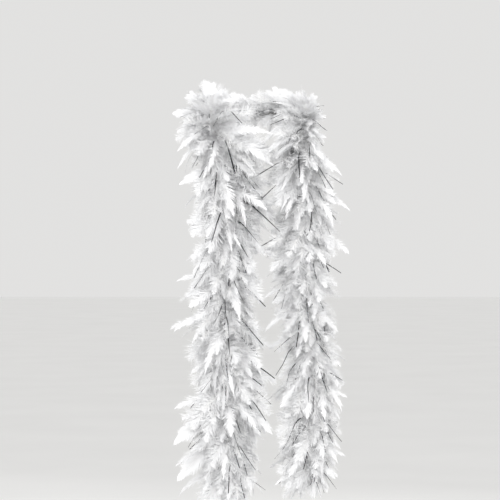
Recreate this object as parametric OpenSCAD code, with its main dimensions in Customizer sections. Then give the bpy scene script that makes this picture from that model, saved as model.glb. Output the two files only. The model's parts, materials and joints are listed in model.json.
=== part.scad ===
// Chandelle feather boa worn round a neck: a core cord about two metres long, its feathers and tinsel
// strands held along it, and its two ends hanging down the front.
// Origin at the centre of the neck opening, +Z up, -Y to the wearer's front. All sizes are in millimetres.

/* [Core cord] */
// Diameter of the twisted core cord
cord_d = 6; // [4:0.5:8]
// Thickness of the binding thread round the cord
thread_d = 1.2; // [0.8:0.1:2]
// Distance between two turns of the binding thread
thread_pitch = 14; // [10:1:30]

/* [Plumage] */
// Diameter of the down on the hanging tails
tail_plumage_d = 112; // [80:1:140]
// Diameter of the down where it is pressed between neck and shoulder
neck_plumage_d = 84; // [60:1:101]
// Thickness of the down's outer layer, which stands off the cord
down_wall = 4.5; // [3:0.5:12]
// How far the down hangs below each end of the cord
end_overhang = 50; // [30:1:70]

/* [Tail feathers] */
// Length of an outer feather of the tails, from the cord to its tip
feather_len = 95; // [70:1:114]
// Broadest width of a tail feather's vane
feather_w = 18; // [10:1:24]
// Angle between a tail feather and the cord below it
feather_lean = 55; // [40:1:65]
// Distance along the cord from one outer feather to the next
feather_pitch = 5; // [4:0.5:12]
// Thickness of a feather's vane and of its shaft
feather_t = 1; // [0.8:0.1:1.6]

/* [Collar feathers] */
// Length of an outer feather of the collar, from the cord to its tip
collar_feather_len = 80; // [60:1:90]
// Broadest width of a collar feather's vane
collar_feather_w = 26; // [16:1:30]
// Distance along the cord from one collar feather to the next
collar_feather_pitch = 8; // [7:0.5:20]

/* [Tinsel] */
// Length of a tinsel strand, from the cord to its tip
tinsel_len = 104; // [80:1:120]
// Width of a tinsel strand
tinsel_w = 1.4; // [0.8:0.1:2]
// Thickness of a tinsel strand
tinsel_t = 0.4; // [0.3:0.1:0.8]
// Distance along the cord from one tinsel strand to the next
tinsel_pitch = 17; // [12:1:40]

/* [Ends] */
// Diameter of the knot at each end of the cord
knot_d = 13; // [10:0.5:16]
// Length of the whipping above each knot
whipping_len = 14; // [8:1:20]
// Length of the loose strands below each knot
strand_len = 24; // [12:1:35]

/* [Bending] */
// Largest bend at one bending point of the cord, in degrees
bend_max = 60; // [20:5:60]

/* [Hidden] */

// Route of the core cord from the left end, up round the nape and down to the right end.
ROUTE = [
    [-48, -98, -800], [-52, -98, -745], [-60, -98, -680], [-65, -98, -610], [-70, -98, -550],
    [-75, -98, -480], [-74, -98, -400], [-66, -98, -305], [-68, -98, -240], [-76, -98, -170],
    [-84, -98, -110], [-90, -98, -70], [-101, -80, -24], [-106, -40, -4], [-101, 10, 4],
    [-81, 56, 8], [-44, 85, 10], [0, 95, 12], [44, 85, 10], [81, 56, 8],
    [101, 10, 4], [108, -40, 0], [108, -80, -22], [103, -98, -70], [106, -98, -110],
    [112, -98, -170], [112, -98, -240], [110, -98, -305], [110, -98, -400], [113, -98, -480],
    [118, -98, -550], [126, -98, -610], [128, -98, -680], [124, -98, -745], [118, -98, -800],
];
// Numbers of the route's points where the cord bends, and where the collar's down is parted.
LEFT_HIP = 4;
LEFT_CHEST = 7;
LEFT_COLLARBONE = 11;
LEFT_NECK = 15;
RIGHT_NECK = 19;
RIGHT_COLLARBONE = 23;
RIGHT_CHEST = 27;
RIGHT_HIP = 30;

CORD_SIDES = 8;      // corners of the cord's section
DOWN_SIDES = 14;     // corners of the down's section
ROUND_FN = 48;       // facets of the true round pieces
GOLDEN = 137.5;      // turn from one feather to the next, in degrees
CLEAR = 0.4;         // room between two bodies or two pieces of down
SINK = 0.3;          // how deep the thread bites into the cord
END_STRANDS = 5;     // loose strands below each knot
LINK_GAP = cord_d / 2 * tan(bend_max / 2) + CLEAR;
SPARE_BEND = 4;      // degrees of room left at each side of a bending point, past its largest bend
SLOPE = tan(bend_max / 2 + SPARE_BEND);
WHITE = [0.95, 0.95, 0.96];
DOWN_WHITE = [0.88, 0.89, 0.91];
TWINE = [0.86, 0.84, 0.79];
THREAD = [0.78, 0.78, 0.76];
SILVER = [0.62, 0.64, 0.67];

// One point of a smooth curve through b and c.
function blend_point(a, b, c, d, t) =
    0.5 * (2 * b + (c - a) * t + (2 * a - 5 * b + 4 * c - d) * t * t + (3 * b - a - 3 * c + d) * t * t * t);
function route(i) =
    i < 0 ? 2 * ROUTE[0] - ROUTE[1]
    : i >= len(ROUTE) ? 2 * ROUTE[len(ROUTE) - 1] - ROUTE[len(ROUTE) - 2]
    : ROUTE[i];
// Steps that the cord's curve takes after route point i: three round the neck, two on the tails.
function steps(i) = i >= LEFT_COLLARBONE && i < RIGHT_COLLARBONE ? 3 : 2;
function unit(v) = v / norm(v);
CORE = [
    for (i = [0 : len(ROUTE) - 2], k = [0 : steps(i) - 1])
        blend_point(route(i - 1), route(i), route(i + 1), route(i + 2), k / steps(i)),
    ROUTE[len(ROUTE) - 1],
];
// The curve with a straight stretch past each end, which the down follows.
TAIL_OUT = 200;
LINE = [
    CORE[0] + TAIL_OUT * unit(CORE[0] - CORE[1]),
    each CORE,
    CORE[len(CORE) - 1] + TAIL_OUT * unit(CORE[len(CORE) - 1] - CORE[len(CORE) - 2]),
];
// Length along the curve at each of its points: zero at the cord's left end.
RUN = [
    for (i = 0, s = -TAIL_OUT; i < len(LINE);
        s = s + (i + 1 < len(LINE) ? norm(LINE[i + 1] - LINE[i]) : 0), i = i + 1) s,
];
TABLE_X = [for (i = [0 : len(LINE) - 1]) [RUN[i], LINE[i][0]]];
TABLE_Y = [for (i = [0 : len(LINE) - 1]) [RUN[i], LINE[i][1]]];
TABLE_Z = [for (i = [0 : len(LINE) - 1]) [RUN[i], LINE[i][2]]];
CORD_LENGTH = RUN[len(RUN) - 2];

// The curve's point, direction and two cross directions at length s.
function place(s) = [lookup(s, TABLE_X), lookup(s, TABLE_Y), lookup(s, TABLE_Z)];
LOOK = 8;            // how far each way the curve's direction is taken from
function along(s) = unit(place(s + LOOK) - place(s - LOOK));
function without(v, t) = unit(v - (v * t) * t);
SIDES = [
    for (i = 0, n = [1, 0, 0]; i < len(LINE);
        n = i + 1 < len(LINE) ? without(n, along(RUN[i + 1])) : n, i = i + 1) n,
];
SIDE_X = [for (i = [0 : len(LINE) - 1]) [RUN[i], SIDES[i][0]]];
SIDE_Y = [for (i = [0 : len(LINE) - 1]) [RUN[i], SIDES[i][1]]];
SIDE_Z = [for (i = [0 : len(LINE) - 1]) [RUN[i], SIDES[i][2]]];
function side(s) = without([lookup(s, SIDE_X), lookup(s, SIDE_Y), lookup(s, SIDE_Z)], along(s));
function away(s, angle) = cos(angle) * side(s) + sin(angle) * cross(along(s), side(s));
function ring(s, r, sides) = [for (k = [0 : sides - 1]) place(s) + r * away(s, 360 * k / sides)];

// Length along the curve at route point i.
function steps_before(i, k = 0) = k == i ? 0 : steps(k) + steps_before(i, k + 1);
function at_mark(i) = RUN[1 + steps_before(i)];
S_LEFT_HIP = at_mark(LEFT_HIP);
S_LEFT_CHEST = at_mark(LEFT_CHEST);
S_LEFT_COLLARBONE = at_mark(LEFT_COLLARBONE);
S_LEFT_NECK = at_mark(LEFT_NECK);
S_RIGHT_NECK = at_mark(RIGHT_NECK);
S_RIGHT_COLLARBONE = at_mark(RIGHT_COLLARBONE);
S_RIGHT_CHEST = at_mark(RIGHT_CHEST);
S_RIGHT_HIP = at_mark(RIGHT_HIP);

// Radius of the down along the curve: full on the tails, pressed flat round the neck.
NECK_IN = 85;        // length over which the down narrows above a collarbone
DOWN_RADIUS = [
    [S_LEFT_COLLARBONE, tail_plumage_d / 2], [S_LEFT_COLLARBONE + NECK_IN, neck_plumage_d / 2],
    [S_RIGHT_COLLARBONE - NECK_IN, neck_plumage_d / 2], [S_RIGHT_COLLARBONE, tail_plumage_d / 2],
];
function down_radius(s) = lookup(s, DOWN_RADIUS);

// A closed skin over rings of the same number of points. As a loop, the last ring joins the first.
module skin(rings, loop = false) {
    sides = len(rings[0]);
    last = len(rings) - (loop ? 1 : 2);
    bands = [
        for (i = [0 : last], k = [0 : sides - 1])
            let (a = i * sides, b = (i + 1) % len(rings) * sides, n = (k + 1) % sides)
            each [[a + k, b + n, a + n], [a + k, b + k, b + n]],
    ];
    caps = loop ? [] : [
        [for (k = [0 : sides - 1]) k],
        [for (k = [sides - 1 : -1 : 0]) (len(rings) - 1) * sides + k],
    ];
    polyhedron(points = [for (r = rings) each r], faces = concat(bands, caps), convexity = 10);
}

// The cord between two lengths, swept through the curve's own points that aren't near its ends.
NEAR = 2;
module cord(from, to) {
    inner = [for (s = RUN) if (s > from + NEAR && s < to - NEAR) s];
    skin([for (s = concat([from], inner, [to])) ring(s, cord_d / 2, CORD_SIDES)]);
}

// Stations [outer length, outer radius, inner length] of the down, which is a sleeve round the cord.
// An end at a bending point is cut as a cone that leaves room to bend.
function level(s, r) = [s, r, s];
function cone_end(s, way) =
    let (r = down_radius(s), inner = r - down_wall)
    [[s + way * (r * SLOPE + CLEAR), r, s + way * (inner * SLOPE + CLEAR)]];
function flat_end(s, way) = [level(s + way * CLEAR / 2, down_radius(s))];
HANGING = [[-1, 0.45], [-0.7, 0.75], [-0.2, 0.95], [0.6, 1]];   // shares of the overhang and radius
function hanging_end(s, way) =
    [for (u = HANGING) level(s + way * u[0] * end_overhang, u[1] * down_radius(s))];
function end_of(kind, s, way) =
    kind == "cone" ? cone_end(s, way) : kind == "flat" ? flat_end(s, way) : hanging_end(s, way);
function turned(list) = [for (i = [len(list) - 1 : -1 : 0]) list[i]];
STATION = 26;        // longest distance between two rings of the down

module down(from, to, from_end, to_end) {
    first = end_of(from_end, from, 1);
    last = turned(end_of(to_end, to, -1));
    a = first[len(first) - 1][0];
    b = last[0][0];
    count = max(1, ceil((b - a) / STATION));
    middle = [for (k = [1 : 1 : count - 1]) let (s = a + (b - a) * k / count) level(s, down_radius(s))];
    sleeve = concat(first, middle, last);
    skin(concat(
        [for (p = sleeve) ring(p[0], p[1], DOWN_SIDES)],
        [for (p = turned(sleeve)) ring(p[2], p[1] - down_wall, DOWN_SIDES)]), loop = true);
}

// Puts the children's +Y along `forth` and +X across it, at the curve's point at length s.
module set_on(s, forth, across) {
    p = place(s);
    x = without(across, forth);
    z = cross(x, forth);
    multmatrix([
        [x[0], forth[0], z[0], p[0]],
        [x[1], forth[1], z[1], p[1]],
        [x[2], forth[2], z[2], p[2]],
        [0, 0, 0, 1],
    ]) children();
}

// A feather: a bare shaft that widens into a vane with a blunt point.
SHAFT_SHARE = 0.34;
module feather(length, width) {
    half = [
        [0.5 * feather_t, 0], [0.5 * feather_t, SHAFT_SHARE * length], [0.36 * width, 0.48 * length],
        [0.5 * width, 0.68 * length], [0.38 * width, 0.86 * length], [0.12 * width, length],
    ];
    outline = concat(half, turned([for (p = half) [-p[0], p[1]]]));
    translate([0, 0, -feather_t / 2]) linear_extrude(feather_t) polygon(outline);
}

module strand(length) {
    translate([-tinsel_w / 2, 0, -tinsel_t / 2]) cube([tinsel_w, length, tinsel_t]);
}

// Leaning pieces along a tail from its upper bend to the lower one. Their tips stay above the lower
// bend's cone, so that the two bodies clear each other at every bend.
HANG_START = 7;      // first piece below a bend
TIP_ROOM = 3;        // room between the last tip and the next length's cone
function hang_stop(length, lean) = length * cos(lean) + length * sin(lean) * SLOPE + TIP_ROOM;
// The last piece at the cord's end leaves the cord high enough to pass over the knot.
function end_stop(lean) = knot_len() / 2 + knot_d / 2 / tan(lean) + feather_t;
module hung(upper, lower, length, lean, pitch, turn, at_end) {
    way = sign(lower - upper);
    stop = at_end ? end_stop(lean) : hang_stop(length, lean);
    for (d = [HANG_START : pitch : abs(lower - upper) - stop]) {
        s = upper + way * d;
        outward = away(s, turn + GOLDEN * round((d - HANG_START) / pitch));
        set_on(s, cos(lean) * way * along(s) + sin(lean) * outward, cross(along(s), outward)) children();
    }
}

// Pieces that stand out of the collar: away from the neck, and fanned from below level to upright.
FAN = [-20, 35, 80, 10, 60];
SWAY = [-25, 15, 30, -10, 0];
SHORTER = 0.3;       // share that an upright piece is shorter than a level one
function outward_at(s) = unit([place(s)[0], place(s)[1], 0]);
function fan_angle(i) = FAN[i % len(FAN)];
module stood(from, to, pitch, first, room) {
    count = floor((to - from - 2 * room) / pitch);
    for (i = [0 : count]) {
        s = from + room + i * pitch;
        t = along(s);
        out = without(outward_at(s), t);
        up = without([0, 0, 1] - (out * [0, 0, 1]) * out, t);
        angle = fan_angle(i + first);
        sway = SWAY[(i + first) % len(SWAY)];
        rise = cos(angle) * out + sin(angle) * up;
        $low = 1 - SHORTER * max(0, sin(angle));
        set_on(s, cos(sway) * rise + sin(sway) * t, t) children();
    }
}

// One turn of thread round the cord at length s, pulled a little into it.
module thread_turn(s) {
    set_on(s, along(s), side(s)) rotate([-90, 0, 0]) linear_extrude(thread_d, center = true)
        difference() {
            circle(cord_d / 2 + thread_d, $fn = CORD_SIDES);
            circle(cord_d / 2 - SINK, $fn = CORD_SIDES);
        }
}

// Turns of the binding thread that grip the cord between the feathers.
BIND_START = 4;      // first turn past a bend
module binding(from, to) {
    for (s = [from + BIND_START : thread_pitch : to - HANG_START]) thread_turn(s);
}

module tail_cord(a, b) { color(TWINE) cord(min(a, b) + LINK_GAP, max(a, b) - LINK_GAP); }
module tail_feathers(upper, lower, turn, at_end = false) {
    color(WHITE) hung(upper, lower, feather_len, feather_lean, feather_pitch, turn, at_end)
        feather(feather_len, feather_w);
}
TINSEL_DROP = 4;     // degrees that the tinsel hangs steeper than the feathers
module tail_tinsel(upper, lower, turn, at_end = false) {
    color(SILVER) hung(upper, lower, tinsel_len, feather_lean - TINSEL_DROP, tinsel_pitch, turn, at_end)
        strand(tinsel_len);
}
module tail_binding(a, b) { color(THREAD) binding(min(a, b), max(a, b)); }

// The whipping above the knot, the knot, and the loose strands below it, at one end of the cord.
// `way` is 1 where the cord runs on from s towards greater lengths, and -1 where it runs back.
KNOT_TURNS = 3;
KNOT_BULGE = 0.3;    // share of the knot's diameter that its turns' thickness takes
STRAND_D = 1.2;
STRAND_RING = 2.2;   // how far from the cord's middle the loose strands leave the knot
STRAND_FAN = 12;
KNOT_SINK = 2;       // how deep the strands start inside the knot
WHIP_STEP = 1.5;     // distance between the whipping's turns, in thread diameters
function knot_len() = KNOT_TURNS * KNOT_BULGE * knot_d;
module end_whipping(s, way) {
    color(THREAD)
        for (k = [0 : floor(whipping_len / (WHIP_STEP * thread_d))])
            thread_turn(s + way * (knot_len() / 2 + thread_d * (1 + WHIP_STEP * k)));
}
module end_knot(s) {
    bulge = KNOT_BULGE * knot_d;
    color(TWINE) set_on(s, along(s), side(s)) rotate([-90, 0, 0]) rotate_extrude($fn = ROUND_FN) {
        translate([0, -knot_len() / 2]) square([(knot_d - bulge) / 2, knot_len()]);
        for (k = [0 : KNOT_TURNS - 1])
            translate([(knot_d - bulge) / 2, bulge * (k - (KNOT_TURNS - 1) / 2)])
                circle(d = bulge, $fn = ROUND_FN);
    }
}
module end_strands(s, way) {
    from = s - way * (knot_len() / 2 - KNOT_SINK);
    color(TWINE)
        for (k = [0 : END_STRANDS - 1]) {
            outward = away(from, 360 * k / END_STRANDS);
            translate(STRAND_RING * outward)
                set_on(from, -cos(STRAND_FAN) * way * along(from) + sin(STRAND_FAN) * outward, outward)
                    rotate([-90, 0, 0]) cylinder(d = STRAND_D, h = strand_len, $fn = ROUND_FN);
        }
}

// Collar: the part that lies round the neck.
COLLAR_ROOM = 62;    // stretch above each collarbone that the bending tails need
module core_cord_collar() {
    color(TWINE) cord(S_LEFT_COLLARBONE + LINK_GAP, S_RIGHT_COLLARBONE - LINK_GAP);
}
module down_collar_left() {
    color(DOWN_WHITE) down(S_LEFT_COLLARBONE, S_LEFT_NECK, "cone", "flat");
}
module down_nape() { color(DOWN_WHITE) down(S_LEFT_NECK, S_RIGHT_NECK, "flat", "flat"); }
module down_collar_right() {
    color(DOWN_WHITE) down(S_RIGHT_NECK, S_RIGHT_COLLARBONE, "flat", "cone");
}
module feathers_collar_left() {
    color(WHITE) stood(S_LEFT_COLLARBONE, S_LEFT_NECK, collar_feather_pitch, 0, COLLAR_ROOM)
        feather($low * collar_feather_len, collar_feather_w);
}
NAPE_ROOM = 6;       // room between the nape's feathers and its ends
module feathers_nape() {
    color(WHITE) stood(S_LEFT_NECK, S_RIGHT_NECK, collar_feather_pitch, 2, NAPE_ROOM)
        feather($low * collar_feather_len, collar_feather_w);
}
module feathers_collar_right() {
    color(WHITE) stood(S_RIGHT_NECK, S_RIGHT_COLLARBONE, collar_feather_pitch, 1, COLLAR_ROOM)
        feather($low * collar_feather_len, collar_feather_w);
}
TINSEL_SPARSE = 2.4; // how much farther apart the tinsel stands on the collar
TINSEL_AFTER = 4;    // room between the collar's first feather and its first strand
module tinsel_collar() {
    color(SILVER) stood(S_LEFT_COLLARBONE, S_RIGHT_COLLARBONE, TINSEL_SPARSE * tinsel_pitch, 3,
        COLLAR_ROOM + TINSEL_AFTER)
        strand($low * collar_feather_len);
}
module binding_thread_collar() {
    color(THREAD) binding(S_LEFT_COLLARBONE, S_RIGHT_COLLARBONE);
}

// Left tail: upper, middle and lower lengths.
module core_cord_left_upper() { tail_cord(S_LEFT_COLLARBONE, S_LEFT_CHEST); }
module down_left_upper() { color(DOWN_WHITE) down(S_LEFT_CHEST, S_LEFT_COLLARBONE, "cone", "cone"); }
module feathers_left_upper() { tail_feathers(S_LEFT_COLLARBONE, S_LEFT_CHEST, 20); }
module tinsel_left_upper() { tail_tinsel(S_LEFT_COLLARBONE, S_LEFT_CHEST, 100); }
module binding_thread_left_upper() { tail_binding(S_LEFT_COLLARBONE, S_LEFT_CHEST); }
module core_cord_left_middle() { tail_cord(S_LEFT_CHEST, S_LEFT_HIP); }
module down_left_middle() { color(DOWN_WHITE) down(S_LEFT_HIP, S_LEFT_CHEST, "cone", "cone"); }
module feathers_left_middle() { tail_feathers(S_LEFT_CHEST, S_LEFT_HIP, 60); }
module tinsel_left_middle() { tail_tinsel(S_LEFT_CHEST, S_LEFT_HIP, 10); }
module binding_thread_left_middle() { tail_binding(S_LEFT_CHEST, S_LEFT_HIP); }
module core_cord_left_lower() { color(TWINE) cord(0, S_LEFT_HIP - LINK_GAP); }
module down_left_lower() { color(DOWN_WHITE) down(0, S_LEFT_HIP, "hanging", "cone"); }
module feathers_left_lower() { tail_feathers(S_LEFT_HIP, 0, 140, true); }
module tinsel_left_lower() { tail_tinsel(S_LEFT_HIP, 0, 55, true); }
module binding_thread_left_lower() { tail_binding(whipping_len + knot_len(), S_LEFT_HIP); }
module end_whipping_left() { end_whipping(0, 1); }
module end_knot_left() { end_knot(0); }
module end_strands_left() { end_strands(0, 1); }

// Right tail: upper, middle and lower lengths.
module core_cord_right_upper() { tail_cord(S_RIGHT_COLLARBONE, S_RIGHT_CHEST); }
module down_right_upper() {
    color(DOWN_WHITE) down(S_RIGHT_COLLARBONE, S_RIGHT_CHEST, "cone", "cone");
}
module feathers_right_upper() { tail_feathers(S_RIGHT_COLLARBONE, S_RIGHT_CHEST, 75); }
module tinsel_right_upper() { tail_tinsel(S_RIGHT_COLLARBONE, S_RIGHT_CHEST, 150); }
module binding_thread_right_upper() { tail_binding(S_RIGHT_COLLARBONE, S_RIGHT_CHEST); }
module core_cord_right_middle() { tail_cord(S_RIGHT_CHEST, S_RIGHT_HIP); }
module down_right_middle() { color(DOWN_WHITE) down(S_RIGHT_CHEST, S_RIGHT_HIP, "cone", "cone"); }
module feathers_right_middle() { tail_feathers(S_RIGHT_CHEST, S_RIGHT_HIP, 30); }
module tinsel_right_middle() { tail_tinsel(S_RIGHT_CHEST, S_RIGHT_HIP, 80); }
module binding_thread_right_middle() { tail_binding(S_RIGHT_CHEST, S_RIGHT_HIP); }
module core_cord_right_lower() { color(TWINE) cord(S_RIGHT_HIP + LINK_GAP, CORD_LENGTH); }
module down_right_lower() { color(DOWN_WHITE) down(S_RIGHT_HIP, CORD_LENGTH, "cone", "hanging"); }
module feathers_right_lower() { tail_feathers(S_RIGHT_HIP, CORD_LENGTH, 110, true); }
module tinsel_right_lower() { tail_tinsel(S_RIGHT_HIP, CORD_LENGTH, 5, true); }
module binding_thread_right_lower() {
    tail_binding(S_RIGHT_HIP, CORD_LENGTH - whipping_len - knot_len());
}
module end_whipping_right() { end_whipping(CORD_LENGTH, -1); }
module end_knot_right() { end_knot(CORD_LENGTH); }
module end_strands_right() { end_strands(CORD_LENGTH, -1); }

core_cord_collar();
down_collar_left();
down_nape();
down_collar_right();
feathers_collar_left();
feathers_nape();
feathers_collar_right();
tinsel_collar();
binding_thread_collar();
core_cord_left_upper();
down_left_upper();
feathers_left_upper();
tinsel_left_upper();
binding_thread_left_upper();
core_cord_left_middle();
down_left_middle();
feathers_left_middle();
tinsel_left_middle();
binding_thread_left_middle();
core_cord_left_lower();
down_left_lower();
feathers_left_lower();
tinsel_left_lower();
binding_thread_left_lower();
end_whipping_left();
end_knot_left();
end_strands_left();
core_cord_right_upper();
down_right_upper();
feathers_right_upper();
tinsel_right_upper();
binding_thread_right_upper();
core_cord_right_middle();
down_right_middle();
feathers_right_middle();
tinsel_right_middle();
binding_thread_right_middle();
core_cord_right_lower();
down_right_lower();
feathers_right_lower();
tinsel_right_lower();
binding_thread_right_lower();
end_whipping_right();
end_knot_right();
end_strands_right();
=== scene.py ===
"""A white feather boa with silver tinsel, hung round a neck opening, in the frame of its CAD model.

The boa is one twisted core cord with feathers, down and tinsel spun into it. It is dressed here in
lengths that follow the cord: each joint of the frame has its own length of plumage.
"""

import json
import logging
import math
from dataclasses import dataclass
from enum import Enum
from typing import Any

import bpy
import numpy as np
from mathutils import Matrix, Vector

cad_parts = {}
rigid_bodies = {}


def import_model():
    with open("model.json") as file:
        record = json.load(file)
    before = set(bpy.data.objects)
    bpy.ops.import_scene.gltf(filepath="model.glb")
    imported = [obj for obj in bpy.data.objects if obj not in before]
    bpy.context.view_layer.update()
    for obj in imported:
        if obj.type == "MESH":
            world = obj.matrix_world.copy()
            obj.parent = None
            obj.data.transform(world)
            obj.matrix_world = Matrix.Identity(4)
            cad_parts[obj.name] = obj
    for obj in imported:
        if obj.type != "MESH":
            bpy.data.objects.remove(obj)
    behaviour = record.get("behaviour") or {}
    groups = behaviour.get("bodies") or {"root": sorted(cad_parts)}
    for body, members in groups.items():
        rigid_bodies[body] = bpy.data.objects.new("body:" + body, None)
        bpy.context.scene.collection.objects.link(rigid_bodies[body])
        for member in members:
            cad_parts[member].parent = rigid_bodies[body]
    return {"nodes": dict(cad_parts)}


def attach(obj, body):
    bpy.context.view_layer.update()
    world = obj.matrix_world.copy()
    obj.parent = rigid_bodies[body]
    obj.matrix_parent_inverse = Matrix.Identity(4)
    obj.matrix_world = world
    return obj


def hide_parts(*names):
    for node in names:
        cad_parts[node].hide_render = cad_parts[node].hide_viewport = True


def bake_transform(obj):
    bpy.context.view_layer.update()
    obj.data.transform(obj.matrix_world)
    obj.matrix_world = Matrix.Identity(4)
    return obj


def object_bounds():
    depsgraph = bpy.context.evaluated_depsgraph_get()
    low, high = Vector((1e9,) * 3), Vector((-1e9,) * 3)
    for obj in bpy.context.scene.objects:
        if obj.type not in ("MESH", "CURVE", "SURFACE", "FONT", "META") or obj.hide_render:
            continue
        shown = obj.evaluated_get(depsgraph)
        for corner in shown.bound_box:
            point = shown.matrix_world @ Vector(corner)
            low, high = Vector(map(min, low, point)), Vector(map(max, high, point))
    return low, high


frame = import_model()
CAD_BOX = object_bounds()
log = logging.getLogger("boa")

Socket = bpy.types.NodeSocket
Colour = tuple[float, float, float]
Place = tuple[float, float, float]
GOLDEN = math.radians(137.5)


def unit(v: np.ndarray) -> np.ndarray:
    """Each row of v at length 1."""
    return v / np.maximum(np.linalg.norm(v, axis=-1, keepdims=True), 1e-9)


def across(v: np.ndarray, axis: np.ndarray) -> np.ndarray:
    """The part of each row of v square to the same row of axis, at length 1."""
    return unit(v - (v * axis).sum(-1, keepdims=True) * axis)


# ------------------------------------------------------------------ the cord's route and its lengths


class CordRoute:
    """The core cord's route, the same points as the CAD model's, from the left end to the right end."""

    POINTS_MM = (
        (-48, -98, -800), (-52, -98, -745), (-60, -98, -680), (-65, -98, -610), (-70, -98, -550),
        (-75, -98, -480), (-74, -98, -400), (-66, -98, -305), (-68, -98, -240), (-76, -98, -170),
        (-84, -98, -110), (-90, -98, -70), (-101, -80, -24), (-106, -40, -4), (-101, 10, 4),
        (-81, 56, 8), (-44, 85, 10), (0, 95, 12), (44, 85, 10), (81, 56, 8),
        (101, 10, 4), (108, -40, 0), (108, -80, -22), (103, -98, -70), (106, -98, -110),
        (112, -98, -170), (112, -98, -240), (110, -98, -305), (110, -98, -400), (113, -98, -480),
        (118, -98, -550), (126, -98, -610), (128, -98, -680), (124, -98, -745), (118, -98, -800),
    )
    LEFT_HIP, LEFT_CHEST, LEFT_COLLARBONE, LEFT_NECK = 4, 7, 11, 15
    RIGHT_NECK, RIGHT_COLLARBONE, RIGHT_CHEST, RIGHT_HIP = 19, 23, 27, 30
    STEPS = 10
    PAST_END = 0.2
    FEEL = 0.006

    def __init__(self) -> None:
        """Lays the smooth curve through the points, with a straight stretch past each end."""
        p = np.array(self.POINTS_MM, float) / 1000
        p = np.vstack([2 * p[0] - p[1], p, 2 * p[-1] - p[-2]])
        a, b, c, d = p[:-3, None], p[1:-2, None], p[2:-1, None], p[3:, None]
        t = (np.arange(self.STEPS) / self.STEPS)[None, :, None]
        curve = 0.5 * (
            2 * b + (c - a) * t + (2 * a - 5 * b + 4 * c - d) * t**2 + (3 * b - a - 3 * c + d) * t**3
        )
        line = np.vstack([curve.reshape(-1, 3), p[-2]])
        steps = np.linalg.norm(np.diff(line, axis=0), axis=1)
        self.run = np.concatenate([[0], np.cumsum(steps)])
        self.length = float(self.run[-1])
        before = line[0] + unit(line[0] - line[1]) * self.PAST_END
        after = line[-1] + unit(line[-1] - line[-2]) * self.PAST_END
        self.line = np.vstack([before, line, after])
        self.table = np.concatenate([[-self.PAST_END], self.run, [self.length + self.PAST_END]])

    def mark(self, point: int) -> float:
        """Length along the cord at one of the route's points."""
        return float(self.run[point * self.STEPS])

    def place(self, s: np.ndarray) -> np.ndarray:
        """Points at the lengths s."""
        return np.stack([np.interp(s, self.table, self.line[:, k]) for k in range(3)], -1)

    def ahead(self, s: np.ndarray) -> np.ndarray:
        """The cord's direction at the lengths s."""
        return unit(self.place(s + self.FEEL) - self.place(s - self.FEEL))


ROUTE = CordRoute()


@dataclass(frozen=True)
class CordLength:
    """One length of the boa, with the body that it moves with, or the two that it lies between.

    Attributes:
        name: the length's name, used in its pieces' names.
        start, end: where it begins and ends along the cord.
        bodies: the body it rides on, or the two that it lies between.
        hinge: the route point at the joint between its two bodies.
        nodes: endings of the names of the CAD nodes that it stands for.
    """

    name: str
    start: float
    end: float
    bodies: tuple[str, ...]
    hinge: int = 0
    nodes: tuple[str, ...] = ()

    BEND_HALF = 0.062

    def cad_nodes(self, start: str) -> list[str]:
        """The CAD nodes of this length whose names begin with start."""
        return [f"{start}_{n}" for n in self.nodes if f"{start}_{n}" in frame["nodes"]]

    def fasten(self, piece: bpy.types.Object, slot: str) -> None:
        """Attaches a finished piece of this length and reports it.

        Args:
            piece: the piece.
            slot: the frame's material slot that it is finished in; not used.
        """
        self.attach(piece)
        report(piece)

    def attach(self, piece: bpy.types.Object) -> None:
        """Makes a piece ride on this length's body if it has one; with two bodies, the piece's place is baked
        into its mesh and it rides on neither.

        Args:
            piece: the piece.
        """
        if len(self.bodies) == 1:
            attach(piece, self.bodies[0])
            return
        s = ROUTE.mark(self.hinge)
        first, last = s - self.BEND_HALF, s + self.BEND_HALF
        if self.name.startswith("left"):
            first, last = last, first
        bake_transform(piece)


def boa_lengths() -> list[CordLength]:
    """The eleven lengths from the left end to the right end.

    Returns:
        The lengths, each one ending where the next begins.
    """
    r = ROUTE
    lh, lc, lb, ln = (r.mark(i) for i in (r.LEFT_HIP, r.LEFT_CHEST, r.LEFT_COLLARBONE, r.LEFT_NECK))
    rn, rb, rc, rh = (r.mark(i) for i in (r.RIGHT_NECK, r.RIGHT_COLLARBONE, r.RIGHT_CHEST, r.RIGHT_HIP))
    low_left, mid_left, top_left = lh / 2, (lh + lc) / 2, (lc + lb) / 2
    top_right, mid_right, low_right = (rb + rc) / 2, (rc + rh) / 2, (rh + r.length) / 2
    above = 0.075
    return [
        CordLength("left_end", 0, low_left, ("left_lower",), nodes=("left_lower",)),
        CordLength("left_hip", low_left, mid_left, ("left_middle", "left_lower"), r.LEFT_HIP,
                   ("left_middle",)),
        CordLength("left_chest", mid_left, top_left, ("left_upper", "left_middle"), r.LEFT_CHEST,
                   ("left_upper",)),
        CordLength("left_collarbone", top_left, lb + above, ("collar", "left_upper"), r.LEFT_COLLARBONE),
        CordLength("left_shoulder", lb + above, ln, ("collar",), nodes=("collar_left",)),
        CordLength("nape", ln, rn, ("collar",), nodes=("nape", "collar")),
        CordLength("right_shoulder", rn, rb - above, ("collar",), nodes=("collar_right",)),
        CordLength("right_collarbone", rb - above, top_right, ("collar", "right_upper"),
                   r.RIGHT_COLLARBONE),
        CordLength("right_chest", top_right, mid_right, ("right_upper", "right_middle"), r.RIGHT_CHEST,
                   ("right_upper",)),
        CordLength("right_hip", mid_right, low_right, ("right_middle", "right_lower"), r.RIGHT_HIP,
                   ("right_middle",)),
        CordLength("right_end", low_right, r.length, ("right_lower",), nodes=("right_lower",)),
    ]


# ------------------------------------------------------------------ node trees and meshes


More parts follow.
